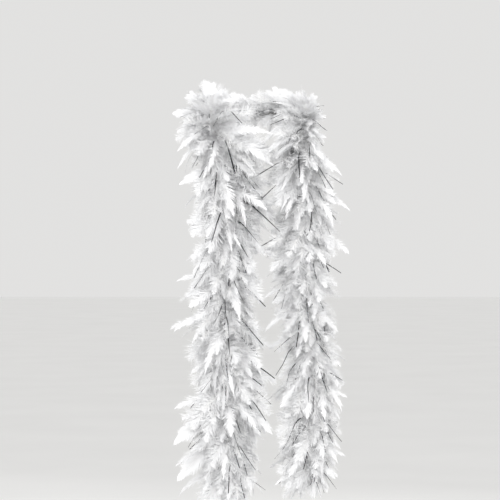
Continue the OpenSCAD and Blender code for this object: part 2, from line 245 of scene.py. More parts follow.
class Graph:
    """A node tree, geometry or shader, with short calls for its nodes and links."""

    def __init__(self, tree: bpy.types.NodeTree) -> None:
        """Takes the tree to build in."""
        self.tree = tree

    @classmethod
    def new(cls, name: str, kind: str) -> "Graph":
        """A new group tree: kind is GeometryNodeTree or ShaderNodeTree."""
        return cls(bpy.data.node_groups.new(name, kind))

    @classmethod
    def geometry(cls, name: str, inputs: dict[str, float | str]) -> tuple["Graph", Any]:
        """A geometry tree that takes a geometry, named inputs and a material, and gives a geometry.

        Args:
            name: the tree's name.
            inputs: each further input with its default number, or with its kind if it has none.

        Returns:
            The tree, and its input sockets.
        """
        g = cls.new(name, "GeometryNodeTree")
        g.socket("Geometry", "Geometry")
        for key, value in inputs.items():
            if isinstance(value, str):
                g.socket(key, value)
            else:
                g.socket(key, "Int" if isinstance(value, int) else "Float", value)
        g.socket("Material", "Material")
        g.socket("Geometry", "Geometry", output=True)
        return g, g.add("NodeGroupInput").outputs

    def socket(self, name: str, kind: str, default: Any = None, output: bool = False) -> None:
        """Adds a named socket to the tree's interface.

        Args:
            name: its name.
            kind: its kind, such as Float.
            default: its default value, if it has one.
            output: whether it is an output.
        """
        item = self.tree.interface.new_socket(
            name, in_out="OUTPUT" if output else "INPUT", socket_type="NodeSocket" + kind
        )
        if default is not None:
            item.default_value = default

    def group(self, tree: bpy.types.NodeTree, **values: float) -> bpy.types.Node:
        """Places a shader group.

        Args:
            tree: the group's tree.
            **values: its inputs.

        Returns:
            The group's node.
        """
        node = self.tree.nodes.new("ShaderNodeGroup")
        node.node_tree = tree
        for name, value in values.items():
            node.inputs[name].default_value = value
        return node

    def finish(self, geometry: Socket, material: Socket) -> None:
        """Ends a geometry tree: makes its instances real and gives the result its material.

        Args:
            geometry: what the tree has made.
            material: the socket that brings the material.
        """
        done = self.out("GeometryNodeRealizeInstances", {"Geometry": geometry})
        done = self.out("GeometryNodeSetMaterial", {"Geometry": done, "Material": material})
        self.tree.links.new(done, self.add("NodeGroupOutput").inputs["Geometry"])

    def add(self, kind: str, ins: dict[Any, Any] | None = None, **settings: Any) -> bpy.types.Node:
        """Adds a node.

        Args:
            kind: the node's type.
            ins: its inputs by name or number, each a constant or the socket that feeds it.
            **settings: its properties.

        Returns:
            The node.
        """
        node = self.tree.nodes.new(kind)
        for key, value in settings.items():
            setattr(node, key, value)
        for key, value in (ins or {}).items():
            live = [s for s in node.inputs if s.enabled]
            target = live[key] if isinstance(key, int) else next(s for s in live if s.name == key)
            if isinstance(value, Socket):
                self.tree.links.new(value, target)
            else:
                target.default_value = value
        return node

    def out(self, kind: str, ins: dict[Any, Any] | None = None, **settings: Any) -> Socket:
        """Adds a node and returns its first live output."""
        node = self.add(kind, ins, **settings)
        return next(s for s in node.outputs if s.enabled)

    def math(self, operation: str, *values: Any) -> Socket:
        """A Math node over the values."""
        return self.out("ShaderNodeMath", dict(enumerate(values)), operation=operation)

    def vec(self, operation: str, a: Any, b: Any = None) -> Socket:
        """A Vector Math node.

        Args:
            operation: what it does.
            a: its first vector.
            b: its second vector, or the number for SCALE, if it takes one.

        Returns:
            Its result.
        """
        if operation == "SCALE":
            return self.out("ShaderNodeVectorMath", {"Vector": a, "Scale": b}, operation=operation)
        ins = {0: a} if b is None else {0: a, 1: b}
        return self.out("ShaderNodeVectorMath", ins, operation=operation)

    def named(self, name: str, kind: str = "FLOAT_VECTOR") -> Socket:
        """Reads a named attribute."""
        return self.out("GeometryNodeInputNamedAttribute", {"Name": name}, data_type=kind)

    def axes(self, forth: Socket, up: Socket) -> Socket:
        """The rotation that takes X along forth and Z towards up."""
        return self.out("FunctionNodeAxesToRotation", {"Primary Axis": forth, "Secondary Axis": up},
                        primary_axis="X", secondary_axis="Z")

    def shapes(self, collection: Socket) -> Socket:
        """The objects of a collection, in the order of their names, as separate instances."""
        return self.out("GeometryNodeCollectionInfo", {"Collection": collection,
                                                       "Separate Children": True, "Reset Children": True})

    def store(self, geometry: Socket, name: str, value: Any, kind: str = "FLOAT",
              domain: str = "POINT") -> Socket:
        """Stores a named attribute and returns the geometry."""
        return self.out("GeometryNodeStoreNamedAttribute",
                        {"Geometry": geometry, "Name": name, "Value": value},
                        data_type=kind, domain=domain)

    def random(self, low: Any, high: Any, seed: Any, kind: str = "FLOAT") -> Socket:
        """A random value for each element, with the seed given."""
        return self.out("FunctionNodeRandomValue", {"Min": low, "Max": high, "Seed": seed},
                        data_type=kind)

    def span(self, value: Any, low: Any, high: Any, to_low: Any, to_high: Any,
             smooth: bool = False) -> Socket:
        """Maps value from one range to another, and holds it inside that."""
        return self.out("ShaderNodeMapRange", {0: value, 1: low, 2: high, 3: to_low, 4: to_high},
                        interpolation_type="SMOOTHSTEP" if smooth else "LINEAR")


def mesh_of(name: str, points: Any, edges: Any = (), faces: Any = ()) -> bpy.types.Mesh:
    """A mesh from its parts.

    Args:
        name: its name.
        points: its points.
        edges: its edges, as pairs of points.
        faces: its faces, as rings of points.

    Returns:
        The mesh.
    """
    mesh = bpy.data.meshes.new(name)
    mesh.from_pydata([tuple(p) for p in points], list(edges), list(faces))
    return mesh


def set_attribute(mesh: bpy.types.Mesh, name: str, values: np.ndarray) -> None:
    """Stores numbers or vectors on a mesh's points.

    Args:
        mesh: the mesh.
        name: the attribute's name.
        values: one number or one vector for each point.
    """
    vector = values.ndim == 2
    attribute = mesh.attributes.new(name, "FLOAT_VECTOR" if vector else "FLOAT", "POINT")
    attribute.data.foreach_set("vector" if vector else "value", values.astype(np.float32).ravel())


def scene_object(name: str, mesh: bpy.types.Mesh) -> bpy.types.Object:
    """Puts an object in the scene.

    Args:
        name: its name.
        mesh: its mesh.

    Returns:
        The object.
    """
    obj = bpy.data.objects.new(name, mesh)
    bpy.context.scene.collection.objects.link(obj)
    return obj


def guide_object(name: str, points: np.ndarray, line: bool = True,
                 **attributes: np.ndarray) -> bpy.types.Object:
    """An object for a node tree to follow: points, or a line through them, with attributes.

    Args:
        name: its name.
        points: its points.
        line: whether edges join them, each to the next.
        **attributes: what each point carries.

    Returns:
        The object.
    """
    mesh = mesh_of(name, points, [(i, i + 1) for i in range(len(points) - 1)] if line else ())
    for key, values in attributes.items():
        set_attribute(mesh, key, values)
    return scene_object(name, mesh)


# Attributes that the trees work with. A finished mesh needs none of them.
SPARE = ("along", "across", "tone", "ahead", "shade", "face", "reach", "angle", "fall", "side", "away",
         "lean", "spread", "size", "bias", "flat", "forth", "up", "width", "kind")


def discard(obj: bpy.types.Object) -> None:
    """Removes an object and its mesh.

    Args:
        obj: the object.
    """
    mesh = obj.data
    bpy.data.objects.remove(obj)
    bpy.data.meshes.remove(mesh)


def grown(obj: bpy.types.Object, tree: bpy.types.NodeTree, values: dict[str, Any],
          name: str, keep: tuple[str, ...] = ()) -> bpy.types.Object:
    """Runs a geometry tree on an object and turns the result into a plain mesh object.

    Args:
        obj: the object that the tree follows; it is removed afterwards.
        tree: the tree, whose inputs are set by their identifiers.
        values: the inputs' values by name.
        name: the new object's name.
        keep: attributes that stay on the mesh.

    Returns:
        The new object, with no modifier.
    """
    modifier = obj.modifiers.new("make", "NODES")
    modifier.node_group = tree
    inputs = {i.name: i.identifier for i in tree.interface.items_tree
              if i.item_type == "SOCKET" and i.in_out == "INPUT"}
    for key, value in values.items():
        modifier[inputs[key]] = value
    graph = bpy.context.evaluated_depsgraph_get()
    graph.update()
    mesh = bpy.data.meshes.new_from_object(obj.evaluated_get(graph))
    mesh.name = name
    obj.modifiers.remove(modifier)
    discard(obj)
    for spare in SPARE:
        if spare in mesh.attributes and spare not in keep:
            mesh.attributes.remove(mesh.attributes[spare])
    return scene_object(name, mesh)


def report(piece: bpy.types.Object) -> None:
    """Logs a piece's name and its number of triangles."""
    log.info("%s: %d triangles", piece.name, sum(len(p.vertices) - 2 for p in piece.data.polygons))


# ------------------------------------------------------------------ finishes


class FibreGroup:
    """Shader group: tone and height of fine fibres that run along u of the piece's map."""

    STRANDS = 48.0

    def __init__(self) -> None:
        """Builds the group once."""
        g = Graph.new("fibre tone", "ShaderNodeTree")
        for name, value in (("Along", 7.0), ("Across", 160.0), ("Contrast", 0.5)):
            g.socket(name, "Float", value)
        g.socket("Tone", "Float", output=True)
        g.socket("Height", "Float", output=True)
        g.socket("Root to tip", "Float", output=True)
        ins = g.add("NodeGroupInput").outputs
        uv = g.out("ShaderNodeUVMap", uv_map="OFBake")
        split = g.add("ShaderNodeSeparateXYZ", {0: uv}).outputs
        spot = g.out("ShaderNodeCombineXYZ", {
            0: g.math("MULTIPLY", split[0], ins["Along"]), 1: g.math("MULTIPLY", split[1], ins["Across"])})
        noise = g.out("ShaderNodeTexNoise", {"Vector": spot, "Scale": 1.0, "Detail": 3.0})
        strand = g.out("ShaderNodeTexWhiteNoise",
                       {"W": g.math("FLOOR", g.math("MULTIPLY", split[1], self.STRANDS))},
                       noise_dimensions="1D")
        mixed = g.math("ADD", g.math("MULTIPLY", noise, 0.6), g.math("MULTIPLY", strand, 0.4))
        centred = g.math("MULTIPLY", g.math("SUBTRACT", mixed, 0.5), ins["Contrast"])
        end = g.add("NodeGroupOutput")
        g.tree.links.new(g.math("ADD", centred, 0.5), end.inputs["Tone"])
        g.tree.links.new(noise, end.inputs["Height"])
        g.tree.links.new(split[0], end.inputs["Root to tip"])
        self.tree = g.tree


class GrainGroup:
    """Shader group: twisted yarn fibres in the piece's own space."""

    def __init__(self) -> None:
        """Builds the group once."""
        g = Graph.new("yarn grain", "ShaderNodeTree")
        g.socket("Scale", "Float", 900.0)
        g.socket("Stretch", "Float", 0.35)
        g.socket("Tone", "Float", output=True)
        g.socket("Height", "Float", output=True)
        ins = g.add("NodeGroupInput").outputs
        here = g.add("ShaderNodeTexCoord").outputs["Object"]
        turned = g.out("ShaderNodeMapping", {"Vector": here, "Rotation": (0.5, 0.35, 0.2)})
        long = g.vec("MULTIPLY", turned, g.out("ShaderNodeCombineXYZ", {0: 1.0, 1: 1.0, 2: ins["Stretch"]}))
        fine = g.out("ShaderNodeTexNoise", {"Vector": long, "Scale": ins["Scale"], "Detail": 4.0})
        broad = g.out("ShaderNodeTexNoise", {"Vector": here, "Scale": 60.0, "Detail": 2.0})
        end = g.add("NodeGroupOutput")
        tone = g.math("ADD", g.math("MULTIPLY", fine, 0.65), g.math("MULTIPLY", broad, 0.35))
        g.tree.links.new(tone, end.inputs["Tone"])
        g.tree.links.new(fine, end.inputs["Height"])
        self.tree = g.tree


FIBRE = FibreGroup().tree
GRAIN = GrainGroup().tree


def plain_material(name: str) -> tuple[bpy.types.Material, Graph, bpy.types.Node]:
    """A new material.

    Args:
        name: its name.

    Returns:
        The material, its node tree and its Principled shader.
    """
    material = bpy.data.materials.new(name)
    material.use_nodes = True
    return material, Graph(material.node_tree), material.node_tree.nodes["Principled BSDF"]


def ramp(g: Graph, value: Socket, stops: tuple[tuple[float, Colour], ...]) -> Socket:
    """A colour ramp.

    Args:
        g: the tree.
        value: what it reads.
        stops: its places and their colours.

    Returns:
        The colour.
    """
    node = g.add("ShaderNodeValToRGB", {0: value})
    marks = node.color_ramp.elements
    while len(marks) < len(stops):
        marks.new(0.5)
    for mark, (where, colour) in zip(marks, stops):
        mark.position = where
        mark.color = (*colour, 1)
    return node.outputs[0]


def wire(g: Graph, shader: bpy.types.Node, colour: Socket, rough: Socket, height: Socket,
         strength: float, distance: float) -> None:
    """Feeds a shader what changes over the surface.

    Args:
        g: the tree.
        shader: the Principled shader.
        colour: its colour.
        rough: its roughness.
        height: height of its relief.
        strength: how much of the relief shows.
        distance: depth of the relief, in metres.
    """
    bump = g.out("ShaderNodeBump", {"Strength": strength, "Distance": distance, "Height": height})
    for socket, name in ((colour, "Base Color"), (rough, "Roughness"), (bump, "Normal")):
        g.tree.links.new(socket, shader.inputs[name])


@dataclass(frozen=True)
class FeatherFinish:
    """Bleached feather: barbs greyer at the root with painted shade near the cord, with streaks and a soft
    sheen.

    Attributes:
        name: the material's name.
        root: colour at the foot of a barb, painted shade of the hollow near the cord.
        shade, light: darkest and lightest streaks.
        contrast: how strong the streaks are.
        roughness: its middle roughness.
        sheen: weight of its sheen.
    """

    name: str
    root: Colour = (0.86, 0.86, 0.865)
    shade: Colour = (0.925, 0.93, 0.945)
    light: Colour = (0.985, 0.985, 0.988)
    contrast: float = 0.9
    roughness: float = 0.62
    sheen: float = 0.25

    def build(self) -> bpy.types.Material:
        """Makes the material.

        Returns:
            The material.
        """
        material, g, shader = plain_material(self.name)
        fibre = g.group(FIBRE, Along=9.0, Across=220.0, Contrast=self.contrast)
        barb = ramp(g, fibre.outputs["Tone"], ((0.2, self.shade), (0.75, self.light)))
        # Painted shade: each barb fades from the greyer root colour near the cord to its streaked colour over
        # the first 55% of its length.
        root_shade_fade = g.span(fibre.outputs["Root to tip"], 0.0, 0.55, 0.0, 1.0, smooth=True)
        colour = g.out("ShaderNodeMix", {0: root_shade_fade, 1: (*self.root, 1), 2: barb}, data_type="RGBA")
        rough = g.span(fibre.outputs["Tone"], 0.2, 0.8, self.roughness + 0.12, self.roughness - 0.1)
        wire(g, shader, colour, rough, fibre.outputs["Height"], strength=0.25, distance=0.0004)
        shader.inputs["Sheen Weight"].default_value = self.sheen
        shader.inputs["Sheen Roughness"].default_value = 0.4
        shader.inputs["Specular IOR Level"].default_value = 0.35
        return material


@dataclass(frozen=True)
class TinselFinish:
    """Silver film with its reflections painted into its colour: short painted glints between dark stretches
    that stand in for dark reflections, along each strand.

    Attributes:
        name: the material's name.
        dark, grey, painted_glint: its colours, from the dark stretches of painted dark reflection to the
            painted glints.
    """

    name: str = "tinsel film"
    dark: Colour = (0.022, 0.022, 0.026)
    grey: Colour = (0.16, 0.16, 0.18)
    painted_glint: Colour = (0.93, 0.94, 0.96)

    def build(self) -> bpy.types.Material:
        """Makes the material.

        Returns:
            The material.
        """
        material, g, shader = plain_material(self.name)
        fibre = g.group(FIBRE, Along=26.0, Across=40.0, Contrast=1.0)
        # Painted reflection: the dark stretches stand in for dark surroundings mirrored in the silver, and
        # the short bright stretches are painted glints.
        painted_reflection = ramp(g, fibre.outputs["Height"],
                    ((0.0, self.dark), (0.59, self.dark), (0.65, self.grey), (0.72, self.painted_glint)))
        rough = g.span(fibre.outputs["Height"], 0.3, 0.7, 0.34, 0.14)
        wire(g, shader, painted_reflection, rough, fibre.outputs["Tone"], strength=0.3, distance=0.0003)
        shader.inputs["Metallic"].default_value = 1.0
        return material


@dataclass(frozen=True)
class YarnFinish:
    """Spun yarn: fibres along the twist, slightly darker between them.

    Attributes:
        name: the material's name.
        dark, light: its colours between the fibres and on them.
        scale: how fine the fibres are.
        stretch: how long they are for their breadth.
        bump: how much of their relief shows.
    """

    name: str
    dark: Colour
    light: Colour
    scale: float = 1100.0
    stretch: float = 0.3
    bump: float = 0.6

    def build(self) -> bpy.types.Material:
        """Makes the material.

        Returns:
            The material.
        """
        material, g, shader = plain_material(self.name)
        grain = g.group(GRAIN, Scale=self.scale, Stretch=self.stretch)
        colour = ramp(g, grain.outputs["Tone"], ((0.3, self.dark), (0.65, self.light)))
        rough = g.span(grain.outputs["Tone"], 0.3, 0.7, 0.92, 0.7)
        wire(g, shader, colour, rough, grain.outputs["Height"], strength=self.bump, distance=0.0005)
        shader.inputs["Sheen Weight"].default_value = 0.15
        return material


@dataclass(frozen=True)
class FloorFinish:
    """Matt pale studio floor, very slightly mottled, a little deeper in tone under the lamps, a painted shade
    that evens out their light.

    Attributes:
        name: the material's name.
        pale: its colour.
        middle: share of that tone at the middle, where painted shade evens out the lamps' light.
        near, far: distances from the middle between which the tone rises to the full one.
    """

    name: str = "studio floor"
    pale: Colour = (0.95, 0.95, 0.945)
    middle: float = 0.72
    near: float = 2.0
    far: float = 5.5

    def build(self) -> bpy.types.Material:
        """Makes the material.

        Returns:
            The material.
        """
        material, g, shader = plain_material(self.name)
        here = g.add("ShaderNodeTexCoord").outputs["Object"]
        noise = g.out("ShaderNodeTexNoise", {"Vector": here, "Scale": 1.5, "Detail": 3.0})
        low = tuple(0.97 * c for c in self.pale)
        # Painted shade: the floor is darker near the middle, under the lamps, to even out their light, and
        # fully pale further away.
        tone = g.span(g.vec("LENGTH", here), self.near, self.far, self.middle, 1.0, smooth=True)
        mottled = ramp(g, noise, ((0.3, low), (0.7, self.pale)))
        g.tree.links.new(g.vec("SCALE", mottled, tone), shader.inputs["Base Color"])
        shader.inputs["Roughness"].default_value = 0.9
        return material


# ------------------------------------------------------------------ camera, light and floor


@dataclass(frozen=True)
class Studio:
    """Camera level in front of the chest, soft lamps in front and behind, and a pale floor.

    Attributes:
        centre: what the camera and the lamps aim at.
        distance: from there to the camera.
        view_width: how broad a view the camera takes in there.
        world: strength of the light from all round.
        floor_z: height of the floor.
        floor_half: half the floor's breadth.
        lamps: each lamp's name, place, breadth and power.
    """

    centre: Place = (-0.0176, -0.098, -0.3036)
    distance: float = 4.0
    view_width: float = 1.10
    world: float = 0.76
    floor_z: float = -1.45
    floor_half: float = 40.0
    lamps: tuple[tuple[str, Place, float, float], ...] = (
        ("key light", (-1.6, -3.0, 1.4), 2.4, 56),
        ("fill light", (1.2, -3.3, 0.5), 2.2, 44),
        ("back light", (0.8, 2.8, 1.6), 2.6, 75),
    )

    def camera(self) -> None:
        """Puts the camera at the level of the chest, looking straight back."""
        data = bpy.data.cameras.new("camera")
        data.sensor_width = 36.0
        data.lens = data.sensor_width * self.distance / self.view_width
        data.clip_end = 200
        camera = bpy.data.objects.new("camera", data)
        x, y, z = self.centre
        camera.location = (x, y - self.distance, z)
        camera.rotation_euler = (math.pi / 2, 0, 0)
        bpy.context.scene.collection.objects.link(camera)
        bpy.context.scene.camera = camera

    def lamp(self, name: str, place: Place, size: float, power: float) -> None:
        """Adds a square soft lamp, aimed at the centre.

        Args:
            name: its name.
            place: where it stands.
            size: its breadth.
            power: its power in watts.
        """
        data = bpy.data.lights.new(name, "AREA")
        data.size = size
        data.energy = power
        lamp = bpy.data.objects.new(name, data)
        lamp.location = place
        aim = Vector(self.centre) - Vector(place)
        lamp.rotation_euler = aim.to_track_quat("-Z", "Y").to_euler()
        bpy.context.scene.collection.objects.link(lamp)

    def build(self) -> None:
        """Sets the world, the lamps, the floor and how bright tones are shown."""
        scene = bpy.context.scene
        scene.view_settings.view_transform = "Standard"
        world = bpy.data.worlds.new("studio")
        world.use_nodes = True
        background = world.node_tree.nodes["Background"]
        background.inputs["Color"].default_value = (1.0, 0.995, 0.985, 1)
        background.inputs["Strength"].default_value = self.world
        scene.world = world
        for lamp in self.lamps:
            self.lamp(*lamp)
        r, z = self.floor_half, self.floor_z
        corners = [(-r, -r, z), (r, -r, z), (r, r, z), (-r, r, z)]
        floor = scene_object("floor", mesh_of("floor", corners, faces=[(0, 1, 2, 3)]))
        floor.data.materials.append(FloorFinish().build())


# ------------------------------------------------------------------ cords and threads


class WoundTree:
    """Geometry tree: one strand that winds round the line it is given."""

    def __init__(self) -> None:
        """Builds the tree with its named inputs."""
        g, ins = Graph.geometry("wound strand", {
            "Offset": 0.0015, "Pitch": 0.02, "Phase": 0.0, "Radius": 0.0016, "Step": 0.003, "Wobble": 0.0,
            "Sides": 6, "Seed": 1})
        curve = g.out("GeometryNodeMeshToCurve", {0: ins["Geometry"]})
        curve = g.out("GeometryNodeResampleCurve", {"Curve": curve, "Length": ins["Step"]}, mode="LENGTH")
        length = g.add("GeometryNodeSplineParameter").outputs["Length"]
        turn = g.math("ADD", g.math("DIVIDE", length, ins["Pitch"]), ins["Phase"])
        turn = g.math("MULTIPLY", turn, math.tau)
        normal = g.out("GeometryNodeInputNormal")
        side = g.vec("CROSS_PRODUCT", g.out("GeometryNodeInputTangent"), normal)
        around = g.vec("ADD", g.vec("SCALE", normal, g.math("COSINE", turn)),
                       g.vec("SCALE", side, g.math("SINE", turn)))
        shake = g.math("MULTIPLY", g.random(-1.0, 1.0, ins["Seed"]), ins["Wobble"])
        offset = g.vec("SCALE", around, g.math("ADD", ins["Offset"], shake))
        curve = g.out("GeometryNodeSetPosition", {"Geometry": curve, "Offset": offset})
        ring = g.out("GeometryNodeCurvePrimitiveCircle", {"Resolution": ins["Sides"],
                                                          "Radius": ins["Radius"]})
        tube = g.out("GeometryNodeCurveToMesh", {"Curve": curve, "Profile Curve": ring, "Scale": 1.0,
                                                 "Fill Caps": True})
        tube = g.out("GeometryNodeSetShadeSmooth", {"Geometry": tube, "Shade Smooth": True})
        g.finish(tube, ins["Material"])
        self.tree = g.tree

    def strand(self, name: str, points: np.ndarray, material: bpy.types.Material,
               **values: Any) -> bpy.types.Object:
        """One strand round a line, as a mesh object."""
        return grown(guide_object(name, points), self.tree, {"Material": material, **values}, name)


def joined(pieces: list[bpy.types.Object], name: str) -> bpy.types.Object:
    """Joins mesh objects into the first one.

    Args:
        pieces: the objects.
        name: the joined object's name.

    Returns:
        The joined object.
    """
    for obj in bpy.context.view_layer.objects:
        obj.select_set(False)
    for obj in pieces:
        obj.select_set(True)
    bpy.context.view_layer.objects.active = pieces[0]
    if len(pieces) > 1:
        bpy.ops.object.join()
    pieces[0].name = pieces[0].data.name = name
    pieces[0].select_set(False)
    return pieces[0]


@dataclass
class CoreCord:
    """The core cord of three twisted plies, its binding thread, and the knotted ends.

    Attributes:
        diameter: the cord's.
        ply_radius, ply_offset: a ply's radius, and its distance from the cord's middle.
        twist: length of one turn of the plies.
        thread_radius, thread_offset, thread_pitch: the binding thread's radius, its distance from the
            cord's middle and the length of one turn.
        wrap_radius, wrap_offset, wrap_pitch: the same of the whipping.
        wrap_length, wrap_start: length of the whipping, and how far above the knot it starts.
        knot_diameter: breadth of the end knot.
        knot_size, strand_size: thickness of the knot's cord and of a loose strand, over the cord's.
        strand_length, strands: length and number of the loose strands.
    """

    diameter: float = 0.006
    ply_radius: float = 0.00155
    ply_offset: float = 0.00145
    twist: float = 0.021
    thread_radius: float = 0.00045
    thread_offset: float = 0.0031
    thread_pitch: float = 0.009
    wrap_radius: float = 0.0006
    wrap_offset: float = 0.0034
    wrap_pitch: float = 0.0011
    wrap_length: float = 0.014
    wrap_start: float = 0.006
    knot_diameter: float = 0.013
    knot_size: float = 0.62
    strand_size: float = 0.26
    strand_length: float = 0.024
    strands: int = 6

    POINT_STEP = 0.004

    def __post_init__(self) -> None:
        """Makes the tree and the finishes."""
        self.wound = WoundTree()
        self.twine = YarnFinish("core twine", (0.60, 0.57, 0.50), (0.86, 0.84, 0.78)).build()
        self.end_twine = YarnFinish("end twine", (0.64, 0.61, 0.54), (0.90, 0.88, 0.83), 1400.0).build()
        self.thread = YarnFinish("binding thread", (0.62, 0.61, 0.58), (0.88, 0.87, 0.85), 2200.0,
                                 0.5, 0.35).build()

    def plies(self, name: str, points: np.ndarray, material: bpy.types.Material,
              size: float = 1.0, step: float = 0.003) -> bpy.types.Object:
        """Three plies twisted together along a line.

        Args:
            name: the piece's name.
            points: the line.
            material: the finish.
            size: thickness over the core cord's.
            step: length of one straight piece of a ply.

        Returns:
            The piece.
        """
        parts = [self.wound.strand(f"{name} {k}", points, material, Offset=self.ply_offset * size,
                                   Pitch=self.twist * size, Phase=k / 3, Radius=self.ply_radius * size,
                                   Step=step, Sides=6) for k in range(3)]
        return joined(parts, name)

    def length_of_cord(self, part: CordLength) -> None:
        """Args:
            part: the length.
        """
        count = int((part.end - part.start) / self.POINT_STEP) + 2
        s = np.linspace(part.start, part.end, count)
        if part.name == "left_end":
            s = s[::-1]
        points = ROUTE.place(s)
        cord = self.plies(f"twisted_cord_{part.name}", points, self.twine)
        thread = self.wound.strand(f"thread_winding_{part.name}", points, self.thread,
                                   Offset=self.thread_offset, Pitch=self.thread_pitch, Phase=0.2,
                                   Radius=self.thread_radius, Step=0.0011, Sides=4, Wobble=0.0002, Seed=7)
        for piece, slot, node in ((cord, "core_twine", "core_cord"),
                                  (thread, "binding_thread", "binding_thread")):
            part.fasten(piece, slot)
            for name in part.cad_nodes(node):
                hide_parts(name)

    def knot(self, side: str) -> list[bpy.types.Object]:
        """The overhand knot, the whipping above it and the loose strands below it at one end.

        Args:
            side: left or right.

        Returns:
            The three pieces.
        """
        end, way = (0.0, 1.0) if side == "left" else (ROUTE.length, -1.0)
        tip = ROUTE.place(np.array([end]))[0]
        up = ROUTE.ahead(np.array([end]))[0] * way
        x = across(np.array([[1.0, 0, 0]]), up[None])[0]
        y = np.cross(up, x)
        turn = np.linspace(0, math.tau, 73)
        wide = self.knot_diameter / 2
        radius = wide * (0.42 + 0.2 * np.cos(3 * turn))
        loop = (tip + np.outer(radius * np.cos(2 * turn), x) + np.outer(radius * np.sin(2 * turn), y)
                + np.outer(0.42 * wide * np.sin(3 * turn), up))
        knot = self.plies(f"knot_{side}", loop, self.end_twine, size=self.knot_size, step=0.0012)
        rise = np.linspace(self.wrap_start, self.wrap_start + self.wrap_length, 12)
        wrap = self.wound.strand(f"whipping_{side}", ROUTE.place(end + way * rise), self.thread,
                                 Offset=self.wrap_offset, Pitch=self.wrap_pitch, Phase=0.0,
                                 Radius=self.wrap_radius, Step=0.0004, Sides=5)
        strands = []
        for k in range(self.strands):
            angle = k * GOLDEN
            out = math.cos(angle) * x + math.sin(angle) * y
            t = np.linspace(0, 1, 9)[:, None]
            curl = 0.0022 * np.sin(t * 5 + k) * (math.cos(angle + 1.3) * x + math.sin(angle + 1.3) * y)
            fall = tip - up * (0.004 + self.strand_length * t) + out * (0.002 + 0.006 * t**1.5) + curl
            strands.append(self.plies(f"strand {side} {k}", fall, self.end_twine, size=self.strand_size,
                                      step=0.0015))
        loose = joined(strands, f"loose_strands_{side}")
        body = f"{side}_lower"
        for piece, slot, node in ((knot, "end_twine", "end_knot"), (wrap, "binding_thread", "end_whipping"),
                                  (loose, "end_twine", "end_strands")):
            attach(piece, body)
            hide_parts(f"{node}_{side}")
            report(piece)
        return [knot, wrap, loose]

    def build(self, lengths: list[CordLength]) -> None:
        """Makes the cord, thread and ends of the whole boa.

        Args:
            lengths: the boa's lengths.
        """
        for part in lengths:
            pieces: list[bpy.types.Object] = []
            if part.name.endswith("_end"):
                pieces = self.knot(part.name.split("_")[0])
            self.length_of_cord(part)


# ------------------------------------------------------------------ feathers


class BarbShape(Enum):
    """How a barb bends along its length: forward bow, lift, and how late it narrows."""

    STRAIGHT = (0.05, 0.02, 0.75)
    BOWED = (0.16, 0.05, 0.7)
    CURLED = (0.30, 0.16, 0.6)


